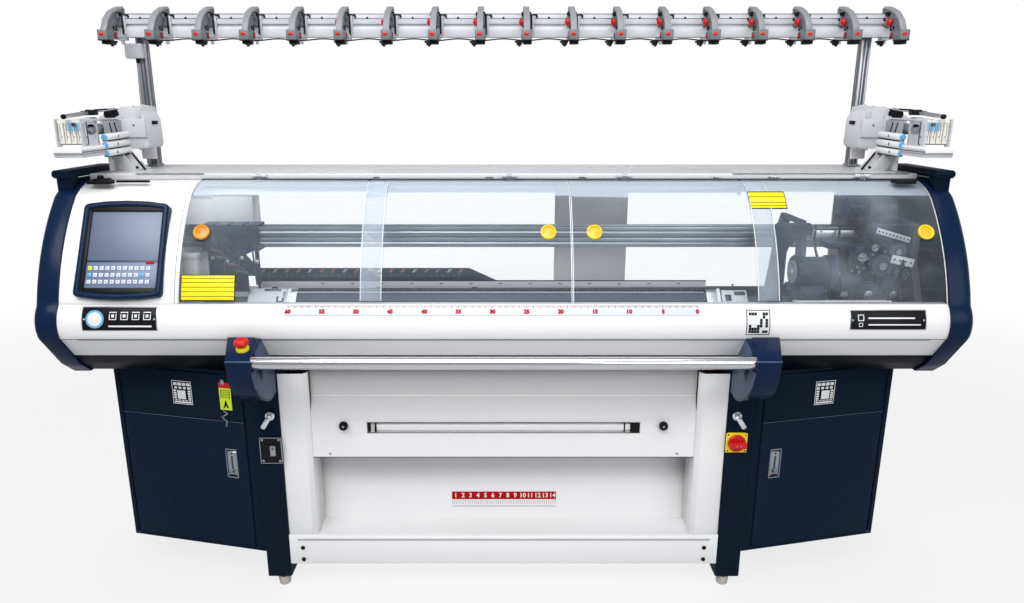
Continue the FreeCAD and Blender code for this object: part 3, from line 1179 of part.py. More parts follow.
# ---------------------------------------------------------------- the whole machine
def build():
    hinges = window_hinge_places()
    leg_right = leg().cut(catch_bore())
    split, left = WINDOW_SPLIT_X, WINDOW_LEFT_X
    nodes = {
        "leg_right": leg_right,
        "leg_left": mirrored(leg_right),
        "levelling_feet": feet(),
        "main_beam": main_beam(),
        "end_frames": both(end_frame()),
        "end_cap_right": end_cap(),
        "end_cap_left": mirrored(end_cap()),
        "grab_rails": both(grab_rail()),
        "control_cover": control_cover(),
        "control_bezel": bezel(),
        "operator_panel": operator_panel(),
        "front_apron": front_apron(),
        "lower_strip": lower_strip(),
        "underside_trim": underside_trim(),
        "top_deck": top_deck(),
        "rear_cover": rear_cover(),
        "needle_bed_front": front_bed(),
        "needle_bed_rear": rear_bed(),
        "bed_end_blocks": end_blocks(),
        "stop_bar": stop_bar(),
        "yarn_rails": yarn_rails(),
        "guide_rods": guide_rods(),
        "handle_brackets": both(bracket()),
        "stop_collar": stop_collar(),
        "column_covers": both(column_cover()),
        "tray": tray(),
        "guard_panel": guard_panel(),
        "cabinet_right": cabinet(),
        "cabinet_left": mirrored(cabinet()),
        "switch_plate": switch_plate(),
        "rocker_frame": rocker_frame(),
        "roller_bearings": both(bearing()),
        "yarn_posts": both(yarn_post()),
        "yarn_bar": yarn_bar(),
        "yarn_units": yarn_units(),
        "feeder_frame_right": feeder_frame(),
        "feeder_frame_left": mirrored(feeder_frame()),
        "window_left": window(left, split, LEFT_STRIP_X, hinges[0]),
        "window_right": window(split, COVER_X, RIGHT_STRIP_X, hinges[1]),
        "window_left_knobs": Part.makeCompound(
            [window_knob(left + KNOB_INSETS[0]), window_knob(split - KNOB_INSETS[1])]),
        "window_right_knobs": Part.makeCompound(
            [window_knob(split + KNOB_INSETS[2]), window_knob(COVER_X - KNOB_INSETS[3])]),
        "carriage_bridge": carriage_bridge(),
        "carriage_cam_boxes": cam_boxes(),
        "yarn_carriers": yarn_carriers(),
        "operating_bar": operating_bar(),
        "stop_button": stop_button(),
        "switch_knob": switch_knob(),
        "rocker": rocker(),
        "catch_right": catch(),
        "catch_left": mirrored(catch()),
        "door_right": door(),
        "door_left": mirrored(door()),
        "door_handle_right": door_handle(),
        "door_handle_left": mirrored(door_handle()),
        "takedown_roller": roller(ROLLER_R, ROLLER_Y),
        "press_roller": roller(PRESS_R, PRESS_Y),
        "feeder_roller_right": feeder_roller(),
        "feeder_roller_left": mirrored(feeder_roller()),
        "tension_loops_right": tension_loops(),
        "tension_loops_left": mirrored(tension_loops()),
    }
    return nodes


os.makedirs("parts", exist_ok=True)
for name, shape in build().items():
    save(name, shape)
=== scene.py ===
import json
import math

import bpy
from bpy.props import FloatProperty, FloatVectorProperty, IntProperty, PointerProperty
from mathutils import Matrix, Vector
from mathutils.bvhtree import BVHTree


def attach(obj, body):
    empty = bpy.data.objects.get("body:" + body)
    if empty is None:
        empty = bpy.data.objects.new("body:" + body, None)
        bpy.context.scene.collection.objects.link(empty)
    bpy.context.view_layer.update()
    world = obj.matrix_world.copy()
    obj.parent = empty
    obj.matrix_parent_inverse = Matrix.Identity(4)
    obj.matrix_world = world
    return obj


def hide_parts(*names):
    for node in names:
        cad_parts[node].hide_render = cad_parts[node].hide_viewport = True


bl_info = {
    "name": "Flat knitting machine",
    "version": (1, 0, 0),
    "blender": (4, 5, 0),
    "location": "3D View > Sidebar > Knitting",
    "description": "Finishes and small pieces of a flat knitting machine, built round its frame",
    "category": "Add Mesh",
}

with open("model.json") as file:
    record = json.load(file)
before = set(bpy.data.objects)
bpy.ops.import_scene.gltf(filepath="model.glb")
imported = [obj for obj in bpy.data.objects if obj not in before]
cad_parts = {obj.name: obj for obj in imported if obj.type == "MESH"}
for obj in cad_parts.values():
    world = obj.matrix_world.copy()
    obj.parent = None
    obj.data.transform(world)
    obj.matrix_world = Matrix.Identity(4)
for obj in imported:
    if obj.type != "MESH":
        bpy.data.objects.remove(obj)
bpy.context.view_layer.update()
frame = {"nodes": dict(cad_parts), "record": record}

NODE_BODY = {n: b for b, ns in frame["record"]["behaviour"]["bodies"].items() for n in ns}
NODE_SLOT = {s["node"]: s["material_slot"] for s in frame["record"]["subparts"]}
PHOTO_WIDTH = 1024       # pixels
PHOTO_SHIFT = 8.5        # pixels from the lens axis to the middle of the picture
SENSOR_WIDTH = 36.0      # millimetres
LENS = 26.72             # millimetres
WAYS = {"+x": (1, 0, 0), "-x": (-1, 0, 0), "+y": (0, 1, 0), "-y": (0, -1, 0), "+z": (0, 0, 1)}
FRONT = WAYS["-y"]


def rgb(red, green, blue):
    """A colour as it looks on a screen, 0 to 255, as linear light."""
    def linear(value):
        value /= 255
        return value / 12.92 if value <= 0.04045 else ((value + 0.055) / 1.055) ** 2.4
    return (linear(red), linear(green), linear(blue))


# ------------------------------------------------------------------ shader maths
def maths(operation, turned=False):
    """A method that adds a Math node; turned puts the other value first."""
    def method(self, *other):
        values = (*other, self) if turned else (self, *other)
        return self.graph.node("ShaderNodeMath", {"operation": operation}, values)
    return method


class Sock:
    """An output of a shader node; arithmetic on it adds Math nodes."""
    __add__, __radd__ = maths("ADD"), maths("ADD", True)
    __sub__, __rsub__ = maths("SUBTRACT"), maths("SUBTRACT", True)
    __mul__, __rmul__ = maths("MULTIPLY"), maths("MULTIPLY", True)
    __gt__, __lt__ = maths("GREATER_THAN"), maths("LESS_THAN")
    frac, size = maths("FRACT"), maths("ABSOLUTE")

    def __init__(self, graph, socket):
        self.graph, self.socket = graph, socket

    def clamp(self):
        return self.graph.node("ShaderNodeClamp", {}, (self,))

    def ramp(self, low, high):
        """0 below low, 1 above high, smooth between."""
        settings = {"interpolation_type": "SMOOTHSTEP"}
        return self.graph.node("ShaderNodeMapRange", settings, (self, low, high))


class Finish:
    """One material: its nodes are added through node()."""

    def __init__(self, name):
        self.material = bpy.data.materials.new(name)
        self.material.use_nodes = True
        self.tree = self.material.node_tree
        self.tree.nodes.clear()
        self.out = self.tree.nodes.new("ShaderNodeOutputMaterial")

    def link(self, socket, value):
        if isinstance(value, Sock):
            self.tree.links.new(value.socket, socket)
        elif (isinstance(value, (tuple, list)) and len(value) == 3
              and len(socket.default_value) == 4):
            socket.default_value = (*value, 1.0)
        else:
            socket.default_value = value

    def node(self, kind, settings=None, inputs=(), out=0):
        node = self.tree.nodes.new(kind)
        for key, value in (settings or {}).items():
            setattr(node, key, value)
        for key, value in inputs.items() if isinstance(inputs, dict) else enumerate(inputs):
            self.link(node.inputs[key], value)
        return Sock(self, node.outputs[out])

    def place(self, stretch=None):
        """Object coordinates in metres, stretched along the axes."""
        spot = self.node("ShaderNodeTexCoord", out="Object")
        if stretch:
            spot = self.node("ShaderNodeVectorMath", {"operation": "MULTIPLY"}, (spot, stretch))
        return spot

    def axis(self, index):
        return self.node("ShaderNodeSeparateXYZ", {}, (self.place(),), out=index)

    def noise(self, scale, detail=2.0, stretch=None):
        return self.node("ShaderNodeTexNoise", {}, {"Vector": self.place(stretch), "Scale": scale,
                                                    "Detail": detail, "Roughness": 0.5})

    def mix(self, factor, first, second):
        inputs = {"Factor": factor, 6: first, 7: second}
        return self.node("ShaderNodeMix", {"data_type": "RGBA"}, inputs, out=2)

    def shade(self, colour, amount):
        """The colour made lighter or darker by a factor."""
        inputs = {0: colour, "Scale": amount}
        return self.node("ShaderNodeVectorMath", {"operation": "SCALE"}, inputs)

    def bump(self, height, distance, strength):
        inputs = {"Strength": strength, "Distance": distance, "Height": height}
        return self.node("ShaderNodeBump", {}, inputs)

    def surface(self, **values):
        """A Principled surface; names are its sockets' in lower case."""
        inputs = {key.replace("_", " ").title().replace("Ior", "IOR"): value
                  for key, value in values.items()}
        return self.node("ShaderNodeBsdfPrincipled", {}, inputs)

    def finish(self, shader):
        self.tree.links.new(shader.socket, self.out.inputs["Surface"])
        return self.material


# ------------------------------------------------------------------ finishes
def painted(name, colour, roughness, coat, tone=0.05, grime=0.0, holes=None, gloss=0.2,
            shade=None):
    """Sprayed metal with a cloudy tone and a fine orange peel; below the height holes it is
    perforated, and between the two heights of shade it darkens upwards, a painted shadow."""
    f = Finish(name)
    base = f.shade(colour, 1.0 - tone + 2 * tone * f.noise(2.3, 4.0))
    rough = roughness + 0.10 * (f.noise(14.0, 3.0) - 0.5)
    if grime:
        dust = (f.noise(5.0, 5.0) * f.noise(40.0, 2.0)).ramp(0.26, 0.42)
        base = f.mix(grime * dust, base, rgb(150, 152, 156))
        rough = rough + 0.2 * dust
    # painted shadow: the colour darkens upwards between the two heights of shade
    if shade:
        base = f.shade(base, 1.0 - 0.5 * f.axis(2).ramp(*shade))
    height, distance, strength = f.noise(420.0, 1.0), 0.0004, 0.12
    if holes:
        across, up = 138.0 * f.axis(0), 138.0 * f.axis(2)
        row = (up - up.frac()) * 0.5
        cell_x, cell_z = (across + row).frac() - 0.5, up.frac() - 0.5
        dot = 1.0 - (cell_x * cell_x + cell_z * cell_z).ramp(0.045, 0.085)
        mask = dot * (f.axis(2) < holes)
        base = f.mix(0.75 * mask, base, rgb(34, 56, 84))
        rough = rough + 0.3 * mask
        height, distance, strength = height * 0.3 - mask, 0.0011, 0.5
    return f.finish(f.surface(base_color=base, roughness=rough, coat_weight=coat,
                              coat_roughness=0.12, specular_ior_level=gloss,
                              normal=f.bump(height, distance, strength)))


def plastic(name, colour, roughness, grain=700.0, coat=0.0, tone=0.05, gloss=0.5):
    """Moulded plastic with a fine grain."""
    f = Finish(name)
    base = f.shade(colour, 1.0 - tone + 2 * tone * f.noise(9.0, 3.0))
    rough = roughness + 0.08 * (f.noise(30.0, 2.0) - 0.5)
    return f.finish(f.surface(base_color=base, roughness=rough, coat_weight=coat,
                              specular_ior_level=gloss,
                              normal=f.bump(f.noise(grain, 1.0), 0.0003, 0.15)))


def metal(name, colour, roughness, brush=(1.0, 1.0, 1.0), spread=0.12, stain=0.08):
    """Bare metal, brushed along the axis that brush leaves short."""
    f = Finish(name)
    streak, stain_and_reflection = f.noise(260.0, 2.0, brush), f.noise(6.0, 4.0)
    base = f.shade(colour, 1.0 - stain + stain * stain_and_reflection + stain * streak)
    rough = roughness + spread * (streak - 0.5) + 0.1 * (stain_and_reflection - 0.5)
    return f.finish(f.surface(base_color=base, metallic=1.0, roughness=rough,
                              normal=f.bump(streak, 0.0002, 0.2)))


def acrylic(name, tint, haze_and_reflection, wear=0.04, ends=0.0):
    """Clear sheet: see-through, with a soft whitish veil, wiping marks and gloss, cloudier at its
    ends. The veil is partly a painted reflection, and the whiter patches at its ends are a painted
    reflection.
    """
    f = Finish(name)
    wipe = f.noise(18.0, 5.0, (1.0, 1.0, 5.0)).ramp(0.5, 0.85)
    film = f.noise(1.3, 3.0).ramp(0.4, 0.75)
    gloss = f.surface(base_color=(0.74, 0.82, 0.92), roughness=0.04 + 0.12 * wipe)
    clear = f.node("ShaderNodeBsdfTransparent", {}, {"Color": tint})
    edge = f.node("ShaderNodeFresnel", {}, {"IOR": 1.36})
    # painted reflection: whiter patches near both ends of the sheet
    stain_and_reflection = f.axis(0).size().ramp(0.72, 1.0) * f.noise(5.0, 3.0).ramp(0.4, 0.7)
    # the even whitish share and the patchy noise on it are partly a painted reflection
    factor = (haze_and_reflection + wear * wipe + haze_and_reflection * film + ends * stain_and_reflection + 0.6 * edge).clamp()
    return f.finish(f.node("ShaderNodeMixShader", {}, (factor, clear, gloss)))


def display(name, low, high):
    """The display: a dull grey-blue face, paler towards one corner."""
    f = Finish(name)
    slope = (2.2 * (f.axis(0) + 1.245) + 1.6 * (f.axis(2) - 1.14)).ramp(0.0, 0.7)
    return f.finish(f.surface(base_color=f.mix(slope, low, rgb(*high)), roughness=0.45,
                              coat_weight=0.1, coat_roughness=0.3))


FINISHES, RECORD_SLOT, SKINS = {}, {}, {}


def make_finishes():
    """Every finish by name, under the record slot it stands in for ("" for its own name).
    A colour above 1 is given as it looks on a screen."""
    navy, cabinet, white = looks().navy[:], looks().cabinet[:], looks().white[:]
    even, along, fine, up = (1.0, 1.0, 1.0), (0.02, 1.0, 1.0), (0.05, 1.0, 1.0), (1.0, 1.0, 0.02)
    makers = {
        painted: (
            ("navy_paint", "", navy, 0.24, 0.0, 0.08, {"gloss": 0.12}),
            ("navy_worn", "navy_paint", cabinet, 0.38, 0.0, 0.12, {"gloss": 0.08}),
            ("navy_mesh", "navy_paint", cabinet, 0.38, 0.0, 0.12, {"holes": 0.598, "gloss": 0.08}),
            # a lighter navy; along the bracket folds it stands for a painted highlight
            ("navy_light", "navy_paint", (84, 104, 134), 0.34, 0.3, 0.06),
            ("cheek_paint", "navy_paint", (72, 86, 112), 0.4, 0.0, 0.1, {"gloss": 0.2}),
            ("trim_paint", "navy_paint", (3, 9, 18), 0.4, 0.0, 0.1, {"gloss": 0.05}),
            ("white_paint", "", white, 0.25, 0.4, 0.008),
            ("deck_paint", "white_paint", (212, 213, 216), 0.28, 0.3, 0.02),
            # painted shadow: the guard grows darker towards its top, under the apron
            ("guard_paint", "white_paint", white, 0.3, 0.2, 0.008, {"shade": (0.56, 0.80)}),
            ("pale_paint", "", (205, 208, 213), 0.34, 0.3, 0.03, {"grime": 0.04}),
            ("box_paint", "pale_paint", (184, 188, 194), 0.42, 0.1, 0.05),
            ("beam_paint", "", (96, 100, 108), 0.5, 0.0, 0.08),
            ("casting_paint", "aluminium", (190, 192, 197), 0.4, 0.2, 0.04),
            ("dark_paint", "dark_steel", (38, 50, 70), 0.36, 0.1, 0.14),
            ("plate_steel", "steel", (74, 82, 95), 0.4, 0.0, 0.2, {"gloss": 0.3})),
        acrylic: (
            ("clear_cover", "", (0.965, 0.97, 0.975), 0.016, 0.022, 0.07),
            ("clear_strip", "clear_cover", (0.90, 0.92, 0.94), 0.16),
            ("clear_blue", "clear_cover", (0.62, 0.84, 0.96), 0.10)),
        plastic: (
            ("yellow_plastic", "", (252, 214, 4), 0.32, {"coat": 0.3}),
            ("honey_plastic", "yellow_plastic", (238, 184, 4), 0.36, {"coat": 0.3}),
            ("amber_plastic", "yellow_plastic", (248, 164, 14), 0.32, {"coat": 0.3}),
            ("orange_plastic", "yellow_plastic", (230, 134, 10), 0.36, {"coat": 0.3}),
            ("yellow_film", "yellow_plastic", (240, 224, 30), 0.4, {"tone": 0.02, "gloss": 0.3}),
            ("tag_plastic", "yellow_plastic", (206, 232, 36), 0.4, {"tone": 0.02}),
            ("red_plastic", "", (200, 12, 14), 0.3, {"coat": 0.12, "gloss": 0.35}),
            ("red_print", "red_plastic", (178, 4, 16), 0.6, {"gloss": 0.1}),
            ("pink_print", "red_plastic", (206, 138, 132), 0.5),
            ("black_plastic", "", (13, 14, 18), 0.42, {"gloss": 0.2}),
            ("grey_plastic", "", (150, 154, 160), 0.42),
            ("unit_plastic", "grey_plastic", (112, 115, 121), 0.4, {"coat": 0.1}),
            ("arch_plastic", "grey_plastic", (138, 141, 147), 0.4, {"coat": 0.15, "tone": 0.16}),
            ("foot_plastic", "steel", (186, 180, 172), 0.45),
            ("ivory_plastic", "pale_paint", (232, 229, 218), 0.35, {"coat": 0.3}),
            ("white_plastic", "white_paint", (226, 228, 231), 0.35, {"coat": 0.3, "tone": 0.02}),
            ("blue_plastic", "screen_face", (96, 172, 214), 0.3, {"coat": 0.4}),
            ("key_plastic", "screen_face", (212, 219, 230), 0.4),
            ("mat_plastic", "screen_face", (104, 120, 148), 0.36, {"tone": 0.08}),
            ("dark_screen", "screen_face", (46, 56, 74), 0.3),
            ("roller_rubber", "", (34, 35, 38), 0.7, 300.0)),
        display: (("screen_face", "", (88, 102, 126), (118, 132, 154)),),
        metal: (
            ("chrome", "", (0.80, 0.81, 0.83), 0.10, even, 0.04, 0.04),
            ("steel", "", (0.45, 0.47, 0.50), 0.34, fine),
            ("rail_steel", "steel", (0.40, 0.45, 0.51), 0.34, along, {"stain": 0.35}),
            ("dark_steel", "", (0.09, 0.115, 0.155), 0.42, (0.1, 1.0, 1.0), {"stain": 0.3}),
            ("bar_metal", "chrome", (0.74, 0.75, 0.77), 0.24, {"spread": 0.02, "stain": 0.03}),
            ("aluminium", "", (0.74, 0.76, 0.79), 0.34, along),
            ("post_metal", "aluminium", (0.46, 0.47, 0.49), 0.36, up)),
    }
    for maker, rows in makers.items():
        for name, slot, colour, *values in rows:
            options = values.pop() if isinstance(values[-1], dict) else {}
            colour = rgb(*colour) if max(colour) > 1 else colour
            FINISHES[name] = maker(name, colour, *values, **options)
            RECORD_SLOT[name] = slot or name


# ------------------------------------------------------------------ modelling helpers
def mm(point):
    return Vector(point) / 1000


def active():
    return bpy.context.view_layer.objects.active


def deselect():
    if bpy.context.object and bpy.context.object.mode != "OBJECT":
        bpy.ops.object.mode_set(mode="OBJECT")
    bpy.ops.object.select_all(action="DESELECT")


def pick(obj):
    deselect()
    obj.select_set(True)
    bpy.context.view_layer.objects.active = obj
    return obj


def settle(obj):
    """The object's place goes into its mesh, so that the object sits at the origin."""
    pick(obj)
    bpy.ops.object.transform_apply(location=True, rotation=True, scale=True)
    return obj


def edit(obj, face_out=True, **steps):
    """Runs mesh operators in edit mode, each on the whole mesh; then its faces look outwards."""
    pick(obj)
    bpy.ops.object.mode_set(mode="EDIT")
    if face_out:
        steps["normals_make_consistent"] = {"inside": False}
    for name, settings in steps.items():
        bpy.ops.mesh.select_all(action="SELECT")
        getattr(bpy.ops.mesh, name)(**settings)
    bpy.ops.object.mode_set(mode="OBJECT")
    return obj


def modify(obj, kind, **settings):
    """Adds one modifier and applies it."""
    pick(obj)
    modifier = obj.modifiers.new(kind.lower(), kind)
    for key, value in settings.items():
        setattr(modifier, key, value)
    bpy.ops.object.modifier_apply(modifier=modifier.name)
    return obj


def ease_edges(obj, width, degrees=40):
    if width:
        modify(obj, "BEVEL", width=width / 1000, segments=2, limit_method="ANGLE",
               angle_limit=math.radians(degrees), miter_outer="MITER_ARC")
    return obj


def slab(low, high, ease=0.8):
    """A block between two corners, with eased edges."""
    low, high = mm(low), mm(high)
    deselect()
    bpy.ops.mesh.primitive_cube_add(size=1.0, location=(low + high) / 2, scale=high - low)
    return ease_edges(settle(active()), ease)


def rod(start, end, radius, ease=0.5, sides=28):
    """A round bar between two points, with eased ends."""
    start, end = mm(start), mm(end)
    turn = (end - start).to_track_quat("Z", "Y").to_euler()
    deselect()
    bpy.ops.mesh.primitive_cylinder_add(vertices=int(sides), radius=radius / 1000,
                                        depth=(end - start).length,
                                        location=(start + end) / 2, rotation=turn)
    return ease_edges(settle(active()), ease, 60)


def ring_of(points, fill):
    """A mesh of one closed run of points, in metres."""
    deselect()
    bpy.ops.mesh.primitive_circle_add(vertices=len(points), fill_type=fill)
    obj = active()
    for vertex, point in zip(obj.data.vertices, points):
        vertex.co = point
    return obj


def sweep(outline, axis, low, high, ease=0.8):
    """A closed outline across an axis, carried along that axis from low to high."""
    points = [mm((*spot[:axis], low, *spot[axis:])) for spot in outline]
    shift = [0.0, 0.0, 0.0]
    shift[axis] = (high - low) / 1000
    obj = edit(ring_of(points, "NGON"),
               extrude_region_move={"TRANSFORM_OT_translate": {"value": shift}})
    return ease_edges(settle(obj), ease)


def lathe(profile, base, out, sides=36):
    """A turned piece; profile gives radius and height, from axis to axis."""
    obj = ring_of([mm((radius, 0.0, height)) for radius, height in profile], "NOTHING")
    edit(obj, spin={"steps": sides, "angle": 2 * math.pi, "center": (0, 0, 0), "axis": (0, 0, 1)},
         remove_doubles={"threshold": 0.000005}, dissolve_degenerate={"threshold": 0.000001},
         delete_loose={})
    obj.location = mm(base)
    obj.rotation_euler = Vector(out).to_track_quat("Z", "Y").to_euler()
    return settle(obj)


def hose(points, radius, resolution=2):
    """A round cable or bent rod through the points."""
    deselect()
    bpy.ops.curve.primitive_bezier_curve_add()
    obj = active()
    spline = obj.data.splines[0]
    spline.bezier_points.add(len(points) - 2)
    for knot, point in zip(spline.bezier_points, points):
        knot.co = mm(point)
        knot.handle_left_type = knot.handle_right_type = "AUTO"
    obj.data.resolution_u = 6
    obj.data.bevel_depth = radius / 1000
    obj.data.bevel_resolution = resolution
    obj.data.use_fill_caps = True
    pick(obj)
    bpy.ops.object.convert(target="MESH")
    return settle(obj)


def join(parts):
    pick(parts[0])
    for part in parts[1:]:
        part.select_set(True)
    if len(parts) > 1:
        bpy.ops.object.join()
    return settle(parts[0])


def copied(obj):
    """A copy of the piece with its own mesh."""
    copy = obj.copy()
    copy.data = obj.data.copy()
    bpy.context.scene.collection.objects.link(copy)
    return copy


def copies(obj, places):
    """The piece repeated at each of the places, joined."""
    made = [copied(obj) for _ in places]
    for copy, place in zip(made, places):
        copy.location = mm(place)
    bpy.data.objects.remove(obj)
    return join(made)


def row(obj, count, step):
    """The piece repeated along a line."""
    return modify(obj, "ARRAY", count=count, use_relative_offset=False,
                  use_constant_offset=True, constant_offset_displace=mm(step))


def mirrored(obj, axis=0):
    """A copy of the piece mirrored across the middle of the machine."""
    copy = copied(obj)
    copy.scale[axis] = -1.0
    return edit(settle(copy))


def both(parts):
    """The parts and their mirror images."""
    one = join(parts)
    return [one, mirrored(one)]


def placed(parts, matrix):
    """Parts drawn in a frame of their own, moved to their place."""
    obj = join(parts)
    obj.matrix_world = matrix
    return settle(obj)


def piece(name, parts, finish, slot="", body="frame", replaces="", degrees=35):
    """Joins parts into one finished object with its body and finish; its slot is not used."""
    obj = join(parts)
    obj.name = name
    bpy.ops.object.shade_smooth_by_angle(angle=math.radians(degrees))
    obj.data.materials.clear()
    obj.data.materials.append(FINISHES[finish])
    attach(obj, body)
    if replaces:
        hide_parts(replaces)


def folded(obj):
    """Whether some face with a hole in it is drawn as more than its own area."""
    obj.data.calc_loop_triangles()
    drawn = sum(triangle.area for triangle in obj.data.loop_triangles)
    return drawn > 1.0005 * sum(face.area for face in obj.data.polygons)


def dress(node, finish, ease):
    """A welded copy of a CAD node with its edges eased, which stands for the node."""
    flat = {"dissolve_limited": {"angle_limit": math.radians(0.6)}}
    for steps in (flat, {}):
        obj = bpy.data.objects.new("dressed_" + node, frame["nodes"][node].data.copy())
        bpy.context.scene.collection.objects.link(obj)
        edit(obj, False, remove_doubles={"threshold": 0.00002}, **steps)
        ease_edges(obj, ease)
        if not folded(obj):
            break
        if steps:
            bpy.data.objects.remove(obj)
    slot = NODE_SLOT[node]
    piece("dressed_" + node, [obj], finish or slot, slot, NODE_BODY[node], node, 32)


def touch(node, x, z):
    """The point and normal where a line from the front meets a node."""
    if node not in SKINS:
        mesh = frame["nodes"][node].data
        SKINS[node] = BVHTree.FromPolygons([v.co for v in mesh.vertices],
                                           [p.vertices for p in mesh.polygons])
    spot, normal, _, _ = SKINS[node].ray_cast(mm((x, -900, z)), (0, 1, 0))
    if spot is None:
        raise RuntimeError("nothing of %s at %s, %s" % (node, x, z))
    return spot * 1000, normal


def hug(node, x0, x1, z0, z1, proud=0.5, rows=7, ease=0.15):
    """A thin plate that follows the front of a node."""
    front, back = [], []
    for i in range(int(rows)):
        spot, normal = touch(node, (x0 + x1) / 2, z0 + (z1 - z0) * i / (rows - 1))
        front.append((spot.y + normal.y * proud, spot.z + normal.z * proud))
        back.append((spot.y - normal.y * 0.4, spot.z - normal.z * 0.4))
    return sweep(front + back[::-1], 0, x0, x1, ease)


def figure(words, height, node, x, z, proud=0.8, offset=0.0):
    """Plain figures printed on the front of a node."""
    spot, normal = touch(node, x, z)
    deselect()
    bpy.ops.object.text_add()
    obj = active()
    text = obj.data
    text.body, text.align_x, text.align_y, text.resolution_u = words, "CENTER", "CENTER", 2
    text.size, text.extrude, text.offset = height / 1000, 0.00015, offset / 1000
    bpy.ops.object.convert(target="MESH")
    up = normal.cross(Vector((1, 0, 0)))
    place = (spot + normal * proud) / 1000
    obj.matrix_world = Matrix(((1, up.x, normal.x, spot.x / 1000), (0, up.y, normal.y, place.y),
                               (0, up.z, normal.z, place.z), (0, 0, 0, 1)))
    return settle(obj)


# ------------------------------------------------------------------ drawing lists
def numbers(text):
    return [float(word) for word in text.split()]


def pairs(text):
    """Points of a profile or an outline, two numbers each."""
    values = numbers(text)
    return list(zip(values[::2], values[1::2]))


def shape(text):
    """One shape of a drawing list, in millimetres:
    box x0 y0 z0 x1 y1 z1 easing
    rod x0 y0 z0 x1 y1 z1 radius easing sides
    hug node x0 x1 z0 z1 proud rows easing
    bar axis low high easing, then the points of the outline
    turn way sides x y z, then radius and height of each point"""
    kind, rest = text.split(None, 1)
    if kind in ("box", "rod"):
        values = numbers(rest)
        return (slab if kind == "box" else rod)(values[:3], values[3:6], *values[6:])
    if kind == "hug":
        node, rest = rest.split(None, 1)
        return hug(node, *numbers(rest))
    if kind == "bar":
        axis, low, high, ease, outline = rest.split(None, 4)
        return sweep(pairs(outline), "xyz".index(axis), float(low), float(high), float(ease))
    way, sides, x, y, z, profile = rest.split(None, 5)
    return lathe(pairs(profile), (float(x), float(y), float(z)), WAYS[way], int(sides))


def draw(text, make=piece, **fixed):
    """Makes the pieces of a drawing list. Each piece is a paragraph: its name, finish and
    options such as slot=steel up to a colon, then its shapes, parted by commas."""
    for paragraph in text.strip().split("\n\n"):
        head, shapes = paragraph.split(":")
        name, finish, *options = head.split()
        options = dict(option.split("=") for option in options)
        make(name, [shape(words) for words in shapes.split(",")], finish, **fixed, **options)


# ------------------------------------------------------------------ settings
class KnittingLooks(bpy.types.PropertyGroup):
    """Sizes and colours a user would change."""

    navy: FloatVectorProperty(name="Navy", description="Paint of the end caps and brackets",
                              subtype="COLOR", default=rgb(11, 33, 62), min=0.0, max=1.0)
    cabinet: FloatVectorProperty(name="Cabinet", description="Paint of the legs and cabinets",
                                 subtype="COLOR", default=rgb(7, 24, 42), min=0.0, max=1.0)
    white: FloatVectorProperty(name="White", description="Paint of the sheet metal covers",
                               subtype="COLOR", default=rgb(240, 240, 241), min=0.0, max=1.0)
    edge: FloatProperty(name="Edge", description="Easing of sheet metal edges, millimetres",
                        default=1.2, min=0.0, max=3.0)
    needle_pitch: FloatProperty(name="Needle pitch",
                                description="Distance from needle to needle, millimetres",
                                default=3.505, min=2.0)
    ruler_step: FloatProperty(name="Ruler step", description="One unit of the ruler, millimetres",
                              default=20.32, min=5.0)
    key_columns: IntProperty(name="Key columns", description="Keys in one row of the keypad",
                             default=11, min=2)
    camera_height: FloatProperty(name="Camera height", description="Camera above the floor",
                                 default=1.618, unit="LENGTH")
    camera_back: FloatProperty(name="Camera distance", description="Camera to the origin along Y",
                               default=2.480, unit="LENGTH")
    camera_pitch: FloatProperty(name="Camera pitch", description="How far the camera looks down",
                                default=math.radians(14.8), subtype="ANGLE")


def looks():
    return bpy.context.scene.knitting_looks


# ------------------------------------------------------------------ placing and repeating
def stand_at(place, angle=0.0, axis="X"):
    """A frame at a place in millimetres, turned about one axis."""
    return Matrix.Translation(mm(place)) @ Matrix.Rotation(angle, 4, axis)


def turned(profile, places, way=FRONT, sides=36):
    """The same turned piece at each of the places."""
    return [lathe(pairs(profile), place, way, sides) for place in places]


def pair(name, parts, finish, slot="", body="frame", replaces=""):
    """A piece on the right and its mirror image; a moving body's name has the side in it."""
    right = join(parts)
    for side, obj in (("right", right), ("left", mirrored(right))):
        rider = body if body == "frame" else "%s_%s" % (side, body)
        node = replaces and "%s_%s" % (replaces, side)
        piece("%s_%s" % (name, side), [obj], finish, slot, rider, node)


